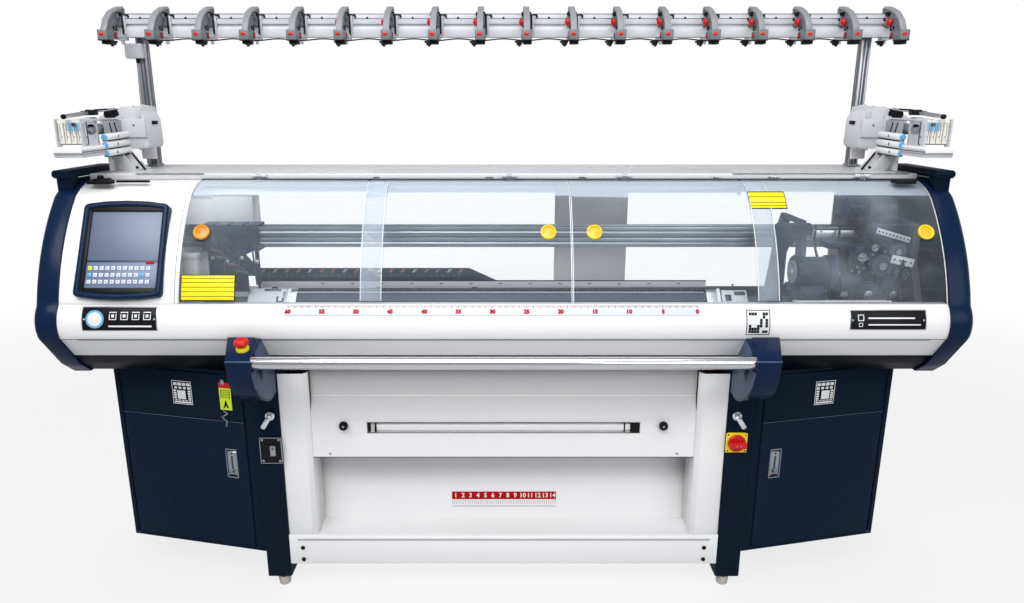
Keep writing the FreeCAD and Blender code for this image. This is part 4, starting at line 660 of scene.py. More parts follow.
# ------------------------------------------------------------------ operators
class MakeCovers(bpy.types.Operator):
    """Eases the edges of the sheet metal and cast pieces and paints them"""
    bl_idname = "knitting.covers"
    bl_label = "Covers and frame"

    special = {
        ("navy_paint", 5.0): "end_cap_right end_cap_left", ("navy_paint", 4.0): "handle_brackets",
        ("navy_worn", 3.0): "grab_rails", ("navy_worn", 1.5): "leg_right leg_left",
        ("navy_worn", 1.0): "cabinet_right cabinet_left",
        ("navy_mesh", 1.5): "door_right door_left", ("trim_paint", 2.0): "underside_trim",
        ("steel", 0.8): "door_handle_right door_handle_left", ("post_metal", 0.6): "yarn_posts",
        ("rail_steel", 0.5): "yarn_rails", ("pale_paint", 1.0): "yarn_bar",
        ("casting_paint", 1.5): "feeder_frame_right feeder_frame_left",
        ("ivory_plastic", 1.2): "tension_loops_right tension_loops_left",
        ("dark_paint", 1.5): "carriage_bridge", ("dark_paint", 1.0): "yarn_carriers",
        ("white_paint", 1.2): "lower_strip", ("white_paint", 0.6): "rear_cover",
        ("guard_paint", 1.2): "guard_panel", ("deck_paint", 1.0): "top_deck",
        ("clear_cover", 0.5): "window_left window_right", ("bar_metal", 1.0): "operating_bar",
        ("chrome", 1.0): "catch_right catch_left", ("chrome", 0.0): "guide_rods"}
    redrawn = """levelling_feet operator_panel needle_bed_front needle_bed_rear yarn_units
        window_left_knobs window_right_knobs stop_collar stop_button switch_knob
        feeder_roller_right feeder_roller_left control_bezel""".split()

    def execute(self, context):
        chosen = {node: look for look, nodes in self.special.items() for node in nodes.split()}
        for node in frame["nodes"]:
            if node not in self.redrawn:
                dress(node, *chosen.get(node, (None, looks().edge)))
        return {"FINISHED"}


PANEL_PLACE = stand_at((-1147, -221, 1179), math.atan2(252, 132))
BEZEL_RIM = ((4, 4), (9, 0), (4, -3))    # width and rise of each step, millimetres
BEZEL_RECESS = 43                        # millimetres
KEY_PLACE = PANEL_PLACE @ stand_at((-4, 0, 0)) @ Matrix.Diagonal((1.09, 1, 1, 1))
# The black surround is wider at the left and top: partly a real dark surround, partly a painted
# shadow in the recess.
PANEL_PARTS = """
panel_surround black_plastic slot=black_plastic replaces=operator_panel:
box -116 -131 -30 118 137 2 1, box -117 -135 -30 118 -117 10 1.5,
box -117 122 -30 118 140 13 1.5, box -119 -131 -30 -103 138 13 1.5, box 112 -131 -30 119 138 10 1.5

panel_screen screen_face: box -107 -32 0 113 128 8 1.5

panel_line dark_screen: box -107 -37 0 113 -32 6.8 0.4

panel_mat mat_plastic: box -107 -118 0 113 -37 7 1.5
"""


class MakePanel(bpy.types.Operator):
    """Display, keypad and the dark surround in the control bezel"""
    bl_idname = "knitting.panel"
    bl_label = "Control panel"

    def put(self, name, parts, finish, slot="screen_face", replaces="", place=PANEL_PLACE):
        piece(name, [placed(parts, place)], finish, slot, replaces=replaces)

    def bezel(self):
        """A rounded plate whose front face steps in to a rim and then down to a deep recess."""
        def bend(x, y, start):
            turns = [math.radians(start + 30 * k) for k in range(4)]
            return [(x + 15 * math.cos(t), y + 15 * math.sin(t)) for t in turns]

        outline = (bend(115.5, -130, -90) + bend(113.5, 132, 0) + pairs("65 153.6 0 156 -65 153.6")
                   + bend(-113.5, 132, 90) + bend(-115.5, -130, 180)
                   + pairs("-65 -151.6 0 -154 65 -151.6"))
        obj = sweep(outline, 2, -36, 14, 0)
        pick(obj)
        bpy.ops.object.mode_set(mode="EDIT")
        bpy.ops.mesh.select_mode(type="FACE")
        bpy.ops.mesh.select_all(action="DESELECT")
        bpy.ops.object.mode_set(mode="OBJECT")
        for face in obj.data.polygons:
            face.select = face.normal.z > 0.9
        bpy.ops.object.mode_set(mode="EDIT")
        for width, rise in BEZEL_RIM:
            bpy.ops.mesh.inset(thickness=width / 1000, depth=rise / 1000)
        bpy.ops.mesh.extrude_region_move(
            TRANSFORM_OT_translate={"value": (0, 0, -BEZEL_RECESS / 1000)})
        bpy.ops.mesh.select_all(action="SELECT")
        bpy.ops.mesh.normals_make_consistent(inside=False)
        bpy.ops.mesh.select_mode(type="VERT")
        bpy.ops.object.mode_set(mode="OBJECT")
        ease_edges(obj, 1.2, 30)
        self.put("bezel", [obj], "navy_paint", "navy_paint", "control_bezel")

    def execute(self, context):
        self.bezel()
        draw(PANEL_PARTS, self.put)
        draw("panel_badge red_print: box 72 -43 6 94 -35 8.8 0.3", self.put, place=KEY_PLACE)
        count = looks().key_columns
        step = 176.0 / count
        spots = [((i - (count - 1) / 2) * step, y) for y in (-56, -77, -98) for i in range(count)]
        colours = {0: "yellow_film", count: "blue_plastic", 2 * count - 2: "blue_plastic"}
        groups = {}
        for index, (x, y) in enumerate(spots):
            wide = 0.34 * step
            key = slab((x - wide, y - 6, 6), (x + wide, y + 6, 9.4), 1.2)
            groups.setdefault(colours.get(index, "key_plastic"), []).append(key)
        for finish, keys in groups.items():
            self.put("keys_" + finish, keys, finish, place=KEY_PLACE)
        marks = [slab((x - 1.8, y - 2, 9), (x + 1.8, y + 2, 9.7), 0.2) for x, y in spots]
        self.put("key_marks", marks, "mat_plastic", place=KEY_PLACE)
        return {"FINISHED"}


KNOB_RIM = ("0 -6 15 -6 16 3 20 3.4 23.4 4.6 24 7 23.8 11 22.6 13.2 20.8 13.8 19 12.8 18 9.6 "
            "17 7.2 12 6.6 0 6.6")
KNOB_DISH = "0 6 17 6 17 7.8 13 8.2 7 8.9 3 10 0 10.2"
KNOB_HEIGHT = 1229


class MakeWindows(bpy.types.Operator):
    """Knobs, bonded strips, edges and bare plates of the clear covers"""
    bl_idname = "knitting.windows"
    bl_label = "Windows"

    def lay(self, name, side, finish, *plates):
        """Thin plates bonded to one window."""
        parts = [hug("window_" + side, *plate) for plate in plates]
        piece(name, parts, finish, "clear_cover", side + "_window")

    def sign(self, side, x0, x1, z0, z1, lines):
        """A yellow plate with a dark edge and dark rules, and nothing written on it."""
        self.lay("sign_edge_" + side, side, "black_plastic", (x0, x1, z0, z1, 0.9))
        x0, x1, z0, z1 = x0 + 2.5, x1 - 2.5, z0 + 2.5, z1 - 2.5
        self.lay("sign_face_" + side, side, "yellow_film", (x0, x1, z0, z1, 1.3))
        rules = [(x0, x1, z - 0.7, z + 0.7, 1.6, 3, 0.0) for z in lines]
        self.lay("sign_rules_" + side, side, "black_plastic", *rules)

    def execute(self, context):
        knobs = (("left", -914, "amber", "orange"), ("left", 136, "yellow", "honey"),
                 ("right", 275, "yellow", "honey"), ("right", 1278, "yellow", "honey"))
        for k, (side, x, ring, dish) in enumerate(knobs):
            node, body = "window_" + side, side + "_window"
            name, place = "knob_%d" % (k + 1), touch(node, x, KNOB_HEIGHT)
            piece(name, [lathe(pairs(KNOB_RIM), *place)], ring + "_plastic", "yellow_plastic", body,
                  "" if k % 2 else node + "_knobs")
            piece(name + "_dish", [lathe(pairs(KNOB_DISH), *place)], dish + "_plastic",
                  "yellow_plastic", body)
        for side, x in (("left", -397), ("right", 793)):
            self.lay("strip_" + side, side, "clear_strip", (x - 31, x + 31, 1040, 1366, 0.8, 22))
            self.lay("strip_%s_edges" % side, side, "white_plastic",
                     *((edge - 1.1, edge + 1.1, 1040, 1366, 1.2, 22) for edge in (x - 31, x + 31)))
        for name, side, x in (("split_left", "left", 204.6), ("split_right", "right", 209.4),
                              ("edge_right", "right", 1324.6)):
            self.lay(name, side, "white_plastic", (x - 1.2, x + 1.2, 1032, 1368, 1.0, 24))
        draw("""
cover_edge white_paint: hug control_cover -981 -973 1034 1368 3 24 0.8

cover_line grey_plastic slot=white_paint: hug control_cover -984.5 -981.5 1034 1368 0.6 24 0.2

deck_seal black_plastic: box -968 -22.4 1373 1326 -18.4 1376 0.5
""")
        self.sign("left", -965, -802, 1040, 1114, (1053, 1066, 1079, 1092, 1103))
        self.sign("right", 760, 874, 1296, 1343, (1305, 1313, 1329))
        return {"FINISHED"}


APRON = "front_apron"
PRINTED = """
ruler key_plastic slot=white_paint: hug front_apron -651 586 1000 1026 0.5

ruler_lines grey_plastic slot=white_paint:
hug front_apron -651 586 999.2 1000.4 0.7 3, hug front_apron -651 586 1025.6 1026.8 0.7 3

bare_square_rim black_plastic slot=white_paint: hug front_apron 722 793 942 1016 0.7 9 0.3

bare_square white_plastic: hug front_apron 724.5 790.5 944.5 1013.5 1 9 0.2

printed_scale red_print slot=white_paint: hug tray -182 186 256 284 0.4 3
"""


class MakeApronMarks(bpy.types.Operator):
    """Ruler with its figures and the bare plates on the front covers"""
    bl_idname = "knitting.apron_marks"
    bl_label = "Ruler and plates"

    def lay(self, name, finish, *plates):
        piece(name, [hug(APRON, *plate) for plate in plates], finish, "white_paint")

    def plate(self, name, x0, x1, z0, z1, shapes):
        """A black plate in a steel rim; shapes are plain pale marks on it."""
        self.lay("plate_rim_" + name, "steel", (x0, x1, z0, z1, 0.9, 9, 0.4))
        inner = (x0 + 2.5, x1 - 2.5, z0 + 2.5, z1 - 2.5, 1.4, 9, 0.3)
        self.lay("plate_" + name, "black_plastic", inner)
        marks = [(*mark, 1.7, 3, 0.1) for mark in shapes]
        self.lay("plate_marks_" + name, "white_plastic", *marks)
        bolts = [lathe(pairs("0 0 3 0 3 1.9 2 2.6 0 2.8"), *touch(APRON, x, (z0 + z1) / 2), 16)
                 for x in (x0 + 8, x1 - 8)]
        piece("plate_bolts_" + name, bolts, "steel", "white_paint")

    def frames(self, x, z, half, line):
        """The four sides of a small square outline."""
        x0, x1, z0, z1 = x - half, x + half, z - half, z + half
        return [(x0, x1, z1 - line, z1), (x0, x1, z0, z0 + line), (x0, x0 + line, z0, z1),
                (x1 - line, x1, z0, z1)]

    def execute(self, context):
        draw(PRINTED)
        zero, step = 577.0, looks().ruler_step
        tick = hug(APRON, zero - 1.1, zero + 1.1, 1020.4, 1025.4, 0.9, 3, 0.0)
        fine = hug(APRON, zero - 0.7, zero + 0.7, 1022.8, 1025.4, 0.9, 3, 0.0)
        ticks = [row(tick, 61, (-step, 0, 0)), row(fine, 241, (-step / 4, 0, 0))]
        ticks += [figure(str(n), 17.0, APRON, zero - n * step, 1010.5, offset=1.3)
                  for n in range(0, 61, 5)]
        piece("ruler_figures", ticks, "red_print", "white_paint")
        squares = []
        for x in (-1161, -1127, -1093, -1059):
            squares += self.frames(x, 999, 11.0, 2.4) + [(x - 4, x + 4, 995, 1003)]
        self.plate("left", -1254, -1030, 955, 1024, squares + [(-1174, -1046, 967, 972)])
        dial = touch(APRON, -1214, 990)
        for name, finish, profile in (
                ("plate_dial", "blue_plastic", "0 0 27 0 27 2.2 26 2.6 0 2.6"),
                ("plate_disc", "white_plastic", "0 0 21 0 21 3 20 3.4 0 3.4")):
            piece(name, [lathe(pairs(profile), *dial)], finish, "white_paint")
        right = self.frames(1062, 994, 9.0, 2.4) + self.frames(1062, 974, 6.0, 2.0)
        self.plate("right", 1030, 1257, 958, 1016,
                   right + [(1084, 1222, 991, 995), (1084, 1240, 972, 976)])
        cells = []
        for k in range(49):
            i, j = k % 7, k // 7
            if (k * k * 3 + k * 5 + j) % 7 < 3 or (i in (0, 6) and j in (0, 6)):
                x, z = 729 + i * 8.2, 949 + j * 8.6
                cells.append((x, x + 7.6, z, z + 8.0, 1.3, 2, 0.0))
        self.lay("square_cells", "black_plastic", *cells)
        figures = [figure(str(n), 23.0, "tray", -182 + (n - 0.5) * 368 / 14, 270, 0.7, 0.5)
                   for n in range(1, 15)]
        piece("scale_figures", figures, "white_plastic")
        mark = hug("tray", -181, -179.6, 238, 252, 0.5, 3, 0.0)
        marks = [row(mark, 57, (6.52, 0, 0)), hug("tray", -182, 186, 230, 232.2, 0.5, 3, 0.0)]
        piece("scale_marks", marks, "grey_plastic", "white_paint")
        return {"FINISHED"}


def bed(s, n):
    """Y and Z on the front needle bed: s down its slope, n out of it."""
    r = math.sqrt(0.5)
    return (-r * s - r * n, 1009 - r * s + r * n)


def on_slope(s0, s1, n0, n1):
    """Outline of a bar that lies on the front needle bed."""
    return [bed(s0, n0), bed(s0, n1), bed(s1, n1), bed(s1, n0)]


class MakeBeds(bpy.types.Operator):
    """Needle beds with their tricks, needles, sinkers and retaining bars"""
    bl_idname = "knitting.beds"
    bl_label = "Needle beds"

    def both_beds(self, name, parts, finish="dark_steel", degrees=35, replaces=""):
        front = join(parts)
        for side, obj in (("front", front), ("rear", mirrored(front, 1))):
            piece("bed_%s_%s" % (name, side), [obj], finish, "steel", "frame",
                  replaces and replaces + side, degrees)

    def execute(self, context):
        left, right, pitch = -690.0, 677.0, looks().needle_pitch

        def bar(outline, ease=0.4):
            return [sweep(outline, 0, left, right, ease)]

        def teeth(outline, wide, step, shift=0.0):
            x0 = left + shift + 0.6
            number = int((right - x0 - wide) / step)
            return [row(sweep(outline, 0, x0, x0 + wide, 0.0), number, (step, 0, 0))]

        def on_bed(text):
            return [bed(*point) for point in pairs(text)]

        self.both_beds("base", bar(on_bed("9.7 -4 150 -4 150 -20 25.7 -20"), 0.6),
                       replaces="needle_bed_")
        self.both_beds("fins", teeth(on_bed("6 0 150 0 150 -4.3 10 -4.3"), 1.5, pitch), degrees=20)
        needle = on_bed("60 0.3 11 0.3 6 1.4 4.6 3.2 5.6 5 8.4 5.4 7.8 3.7 8.2 2.4 20 2.3 60 2.3")
        self.both_beds("needles", teeth(needle, 0.9, pitch, pitch / 2), degrees=20)
        self.both_beds("plate", bar(on_slope(20.5, 53, 1, 4.4)), "plate_steel")
        self.both_beds("sinkers", teeth(on_slope(16.4, 19.6, 0.5, 4.8), 3.2, 2 * pitch),
                       "aluminium", 20)
        self.both_beds("shade", bar(on_slope(4.0, 15.6, 0.8, 3.0)), "black_plastic")
        specks = (teeth(on_slope(4.5, 6.5, 2.6, 3.8), 2.4, 3 * pitch)
                  + teeth(on_slope(9.0, 10.6, 2.6, 3.4), 1.6, 11 * pitch, 9.0))
        self.both_beds("specks", specks, "steel", 20)
        self.both_beds("holes", teeth(on_slope(25, 27, 4.2, 4.7), 1.8, 2 * pitch),
                       "black_plastic", 20)
        self.both_beds("bar", bar(on_slope(55, 68, -1, 6.5), 1.2))
        places = [(left + 42 + 106.8 * i, *bed(40, 4.4)) for i in range(13)]
        self.both_beds("screws", turned("0 0 3 0 3 0.8 2 1.4 1 1.4 1 0.6 0 0.6", places,
                                        (0, -1, 1), 14))
        return {"FINISHED"}


INNER_PARTS = """
left_box white_plastic slot=pale_paint: box -1074 322 1172 -925 404 1277 2,
box -1180 318 1118 -1072 404 1270 2, box -1186 372 1262 -1087 404 1291 2

left_post white_plastic slot=pale_paint:
box -1021 -150 985 -962 -120 1150 2, box -1025 -154 1140 -959 -116 1154 1.5

rear_rail white_plastic slot=aluminium: box -850 115.5 985 710 121.5 1006 1

rear_rail_top black_plastic slot=aluminium: box -850 114.5 1006 710 121.5 1008.5 0.4

inner_bars rail_steel: box -427 -10 1330 760 0 1350 2,
box -965 -6 1342 -427 0 1352 1.5, box -965 -8 1359 1300 -4 1363 0.8

inner_bar_ends dark_steel: box -435 -12 1322 -427 2 1372 1, box 760 -12 1322 768 2 1372 1

inner_plates white_plastic slot=pale_paint:
box -960 -230 985 -744 -150 990 1, box 732 -215 985 820 -140 990 1
"""
SLOPE_PARTS = (
    ("bed_ends", "white_plastic", "aluminium",
     "4 78 3 6.2 -722 -710 1.5, 4 78 3 6.2 712 724 1.5"),
    ("slope_plates", "pale_paint", "", "4 80 1.2 3.6 -850 -724 0.8, 10 80 1.2 3.6 728 812 0.8"),
    ("slope_slots", "dark_steel", "",
     "6 14 3 5 -800 -744 0.5, 34 60 3 5 -756 -749 0.8, 52 60 3 5 -752 -732 0.8, "
     "40 56 3 5 -737 -731 0.8, 28 52 3 7 738 758 2, 16 30 3 6 770 806 1"),
)


class MakeInterior(bpy.types.Operator):
    """Boxes, posts, brackets and the marked bar seen through the windows"""
    bl_idname = "knitting.interior"
    bl_label = "Inside the covers"

    def execute(self, context):
        draw(INNER_PARTS)
        pink, pale = [], []
        for i in range(18):
            x = -846 + i * 2 * looks().ruler_step
            stroke = [(x - 3, 1036), (x - 1, 1040), (x + 9, 1041), (x + 7, 1037)]
            top = [(x + 1, 1043), (x + 3, 1047), (x + 15, 1047), (x + 13, 1043)]
            marks = [sweep(outline, 1, 120.8, 122.4, 0.0) for outline in (stroke, top)]
            (pale if i % 3 == 1 else pink).extend(marks)
        piece("bar_marks_red", pink, "pink_print", "dark_steel")
        piece("bar_marks_white", pale, "white_plastic", "dark_steel")
        places = [(-846 + i * looks().ruler_step, 122, 1020) for i in range(35)]
        piece("bar_bumps", turned("0 0 8 0 8 1.2 6.5 2 0 2", places, sides=18), "dark_steel")
        dashes = row(slab((-640, 114.6, 996), (-628, 115.6, 999), 0.2), 13, (104.0, 0, 0))
        piece("rear_rail_marks", [dashes], "dark_steel")
        for name, finish, slot, bars in SLOPE_PARTS:
            rows = [numbers(text) for text in bars.split(",")]
            piece(name, [sweep(on_slope(*bar[:4]), 0, *bar[4:]) for bar in rows], finish, slot)
        studs = turned("0 0 11 0 11 5 7 5 7 12 11 14 0 16",
                       [(x, -190, 990) for x in (-880, -800, 770)], WAYS["+z"], 20)
        piece("inner_studs", studs, "dark_steel", "steel")
        return {"FINISHED"}


CARRIAGE_PARTS = """
carriage_drum dark_paint: turn +x 44 908 -152 1100 0 0 50 0 52 2 52 12 47 15 47 96 52 99 52 120
47 124 16 124 14 132 0 132

drum_disc grey_plastic: turn -x 36 908 -152 1100 0 0 34 0 36 2 36 4 30 5 12 4 10 9 0 9

carriage_rollers dark_paint: turn +x 32 915 -190 1042 0 0 23 0 24 2 24 70 20 74 0 74,
turn +x 32 1050 -156 1064 0 0 26 0 28 3 28 60 24 64 0 64

carriage_cylinder dark_paint: turn +x 40 1088 -62 1290 0 0 33 0 36 3 36 12 33 15 33 58 30 61 30 66
33 69 33 126 36 129 36 148 30 156 12 158 0 158,
box 1116 -92 1250 1250 -34 1264 2, box 1150 -100 1262 1176 -24 1318 3

carriage_blocks dark_paint: box 1104 -136 1108 1150 -98 1176 3,
box 1198 -138 1040 1272 -100 1082 3, box 1020 -118 1166 1104 -66 1186 2.5,
box 1152 -120 1186 1272 -84 1246 2.5, box 1130 -150 1024 1180 -110 1060 3

carriage_guide aluminium: box 962 -66 1192 1150 -58 1216 1.2

carriage_tray white_paint: box 905 -214 1010 1196 -176 1015 1, box 905 -216 1004 1196 -212 1022 1
"""


class MakeCarriage(bpy.types.Operator):
    """Motors, drum, cables and plates of the cam carriage"""
    bl_idname = "knitting.carriage"
    bl_label = "Carriage"

    def wheel(self, x, y, z, radius, thick, teeth=0):
        """A wheel that faces the front, with teeth round it when teeth is given."""
        r, t = radius, thick
        profile = [(0, 0), (r, 0), (r, t), (0.82 * r, t), (0.78 * r, 0.6 * t),
                   (0.34 * r, 0.6 * t), (0.3 * r, 1.3 * t), (0, 1.3 * t)]
        parts = [lathe(profile, (x, y, z), FRONT)]
        base = Vector(FRONT).to_track_quat("Z", "Y").to_matrix().to_4x4()
        for k in range(teeth):
            tooth = slab((r - 0.8, -0.05 * r - 1, 0.5),
                         (1.07 * r + 1.4, 0.05 * r + 1, t - 0.5), 0.3)
            turn = Matrix.Rotation(2 * math.pi * k / teeth, 4, "Z")
            parts.append(placed([tooth], stand_at((x, y, z)) @ base @ turn))
        return parts

    def make(self, name, parts, finish, slot=""):
        piece(name, parts, finish, slot, "carriage")

    def execute(self, context):
        draw(CARRIAGE_PARTS, self.make)
        motors, caps, hoses = [], [], []
        for i in range(4):
            x = 961 + 77.0 * (i + 0.5)
            y, z = bed(74, 96)
            motors.append(slab((x - 19, y - 26, z - 20), (x + 19, y + 24, z + 20), 3.0))
            caps.append(rod((x, y - 32, z), (x, y - 25, z), 13))
            hoses.append(hose([(x, y + 10, z + 18), (x + 8, y + 4, z + 60), (x - 8, -92, 1176),
                               (x - 4, -74, 1236)], 4.0))
        for i in range(3):
            hoses.append(hose([(1196 + 16 * i, -150, 1010 + 20 * i), (1234, -176, 1080 + 16 * i),
                               (1246, -128, 1170), (1214 - 14 * i, -88, 1240)], 5.0))
            hoses.append(hose([(1100 + 20 * i, -96, 1290), (1090 + 26 * i, -124, 1240),
                               (1130 + 18 * i, -140, 1196), (1150 + 10 * i, -120, 1160)], 3.0))
        self.make("carriage_motors", motors, "black_plastic", "dark_steel")
        self.make("carriage_motor_caps", caps, "steel")
        self.make("carriage_hoses", hoses, "black_plastic")
        gears = (self.wheel(1180, -150, 1120, 30, 12, 20) + self.wheel(1226, -146, 1164, 22, 12, 16)
                 + self.wheel(1240, -158, 1094, 18, 16, 12))
        self.make("carriage_gears", gears, "plate_steel", "dark_steel")
        hubs = (self.wheel(1180, -163, 1120, 12, 6) + self.wheel(1226, -159, 1164, 9, 6)
                + self.wheel(1150, -158, 1178, 11, 8) + self.wheel(1118, -150, 1146, 14, 8))
        self.make("carriage_hubs", hubs, "steel")
        tilt = math.radians(16)
        strips = [placed([slab((-56, -1.5, -9), (56, 1.5, 9))],
                         stand_at((1222, -124, 1210), tilt, "Y")),
                  placed([slab((-36, -2, -13), (36, 2, 13))],
                         stand_at((1240, -164, 1136), math.radians(12), "Y"))]
        self.make("carriage_strips", strips, "pale_paint")
        holes = []
        for i in range(9):
            a = -48 + 12.0 * i
            x, z = 1222 + a * math.cos(tilt), 1210 - a * math.sin(tilt)
            holes.append(rod((x, -126.2, z), (x, -125, z), 2.6, 0.0, 12))
        for a in (-26, -9, 9, 26):
            x, z = 1240 + a, 1136 - 0.21 * a
            holes.append(rod((x, -167, z), (x, -165.5, z), 3.0, 0.0, 12))
        self.make("strip_holes", holes, "black_plastic", "dark_steel")
        places = []
        for k in range(34):
            z = 1030 + (k * 61) % 196
            places.append((962 + (k * 97) % 306, -96 if z > 1170 else -142, z))
        pins = turned("0 0 3.4 0 3.4 3 2.4 4.2 0 4.4", places, sides=10)
        self.make("carriage_pins", pins, "steel")
        return {"FINISHED"}


class MakeCarriers(bpy.types.Operator):
    """Small mechanism of the parked yarn carriers"""
    bl_idname = "knitting.carriers"
    bl_label = "Yarn carriers"

    def execute(self, context):
        draw("""carrier_mass dark_paint: bar y -31 -21 1.5 -970 1153 -970 1004 -845 1004 -845 1058
-797 1058 -798 1068 -811 1089 -824 1102 -847 1129 -828 1138 -818 1143 -818 1153""", body="carriers")
        dark, pale, brown = [], [], []
        for k in range(64):
            x, z = -964 + (k * 59) % 150, 1010 + (k * 83) % 136
            if x > -822 and z > 1086:
                x -= 40
            if x > -862 and z < 1060:
                x -= 70
            wide, high = 6 + k * 7 % 11, 5 + k * 5 % 9
            dark.append(slab((x, -40 - k % 3 * 3, z), (x + wide, -29, z + high), 1.2))
            if k % 3 == 0:
                path = [(x, -47, z), (x + 4, -48, z + 6), (x + 10, -47, z + 5 - k % 2 * 9)]
                (pale if k % 2 else brown).append(hose(path, 0.9, 1))
        for i in range(4):
            x = -962 + 48.0 * i
            dark.append(rod((x, -44, 1146), (x + 6, -42, 1030), 3.0))
            pale += turned("0 0 6 0 7 2 7 7 4 9 0 9", [(x + 12, -40, 1120 - 12 * (i % 2))],
                           sides=18)
        piece("carrier_blocks", dark, "dark_steel", body="carriers")
        piece("carrier_specks", pale, "steel", body="carriers")
        piece("carrier_brown", brown, "pink_print", "steel", "carriers")
        return {"FINISHED"}


CAB_PLACE = stand_at((807, -185, 0), math.atan2(115, 503), "Z")
CABINET_PARTS = """
blank_plate trim_paint: box 222 -4 644 297 -2.8 729 0.5

latch_plate steel slot=chrome:
box 79.4 -4.2 395.6 120.6 -3.1 398.6 0.3, box 79.4 -4.2 497.4 120.6 -3.1 500.4 0.3,
box 79.4 -4.2 395.6 82 -3.1 500.4 0.3, box 118 -4.2 395.6 120.6 -3.1 500.4 0.3

latch_detail black_plastic slot=chrome: turn -y 16 100 14.6 414 0 0 4.4 0 4.4 1.2 2.6 2.2 0 2.2,
turn -y 16 100 14.6 484 0 0 4.4 0 4.4 1.2 2.6 2.2 0 2.2

handle_slot dark_steel slot=chrome body=door_handle: box 96.5 -3 425 103.5 -1 474 1,
rod 100 -3.2 416 100 -1 416 3.6, rod 100 -3.2 483 100 -1 483 3.6

door_line navy_light: box 44 -3.7 597.4 495 -3 598.8 0.2
"""
TAG_PARTS = """
tag tag_plastic: box 78 -6.2 640 121 -5 716 0.8

tag_head red_plastic: box 78 -6.6 716 121 -4.8 736 1.5, rod 94 -6 728 94 -3.6 728 4.5

tag_mark black_plastic: box 83 -6.6 684 116 -6 685.6 0.1, box 83 -6.6 690 116 -6 691.6 0.1,
box 83 -6.6 696 116 -6 697.6 0.1, box 83 -6.6 702 116 -6 703.6 0.1,
box 83 -6.6 708 116 -6 709.6 0.1,
box 83 -6.6 680 84.6 -6 710 0.1, box 114.4 -6.6 680 116 -6 710 0.1,
bar y -6.9 -6 0.2 90 648 99.5 676 109 648 103 648 99.5 658 96 648

tag_clip steel: box 99 -8 730 112 -4.6 746 1.5
"""


class MakeCabinets(bpy.types.Operator):
    """Plates, tag, latch fittings, screws and rear vents of the cabinets"""
    bl_idname = "knitting.cabinets"
    bl_label = "Cabinets"

    def on_both(self, name, parts, finish, slot="navy_paint", body="door"):
        pair(name, [placed(parts, CAB_PLACE)], finish, slot, body)

    def on_left(self, name, parts, finish):
        right = placed(parts, CAB_PLACE)
        left = mirrored(right)
        bpy.data.objects.remove(right)
        piece(name, [left], finish, "yellow_plastic", "left_door")

    def execute(self, context):
        draw(CABINET_PARTS, self.on_both)
        cells = [(223.4, 295.6, 645.4, 647.4), (223.4, 295.6, 725.6, 727.6),
                 (223.4, 225.4, 645, 728), (293.6, 295.6, 645, 728), (247, 277, 664, 694),
                 (228, 290, 650, 655)]
        for k in range(5):
            if k < 4:
                x, z = 228 + 16.2 * k, 664 + 8.4 * k
                cells += [(x, x + 13, 711, 721), (x, x + 10, 699, 707), (228, 238, z, z + 6),
                          (281, 291, z, z + 6)]
            cells.append((228 + 13 * k, 237 + 13 * k, 657.5, 661))
        pale = [slab((a, -4.5, z), (b, -3.8, c), 0.2) for a, b, z, c in cells]
        self.on_both("blank_cells", pale, "white_plastic")
        places = [(18, 0, 760), (500, 0, 768), (500, 0, 136)]
        screws = turned("0 0 4 0 4 1.4 2.8 2.2 0 2.2", places, sides=16)
        self.on_both("cabinet_screws", screws, "dark_steel", "steel", "frame")
        draw(TAG_PARTS, self.on_left)
        self.on_left("tag_chain", self.chain(), "steel")
        vents = []
        for x0 in (880.0, 1090.0):
            vent = sweep(pairs("330 300 336 303 336 309 330 312"), 0, x0, x0 + 150, 0.5)
            vents.append(row(vent, 14, (0, 0, 22.0)))
        piece("cabinet_vents", both(vents), "navy_paint")
        piece("cabinet_sides", both([slab((1308, 20, 250), (1313, 250, 640), 2.0)]), "navy_paint")
        gland = turned("0 0 17 0 17 5 12 8 12 22 0 22", [(870, 330, 200)], WAYS["+y"], 24)
        piece("cabinet_glands", both(gland), "black_plastic")
        return {"FINISHED"}

    def chain(self):
        """Small links down a zigzag below the tag."""
        corners = pairs("112 640 96 628 118 614 100 600 104 584")
        links = []
        for (a0, z0), (a1, z1) in zip(corners, corners[1:]):
            turn = math.atan2(a1 - a0, z1 - z0) - math.pi / 2
            for i in range(4):
                share = (i + 0.5) / 4
                deselect()
                bpy.ops.mesh.primitive_torus_add(major_radius=0.0030, minor_radius=0.0009,
                                                 major_segments=12, minor_segments=6)
                obj = active()
                obj.scale = (1.3, 0.8, 1.0)
                settle(obj)
                obj.rotation_euler = (math.radians(90 if i % 2 else 30), turn, 0.0)
                obj.location = mm((a0 + (a1 - a0) * share, -7.5, z0 + (z1 - z0) * share))
                links.append(settle(obj))
        return links


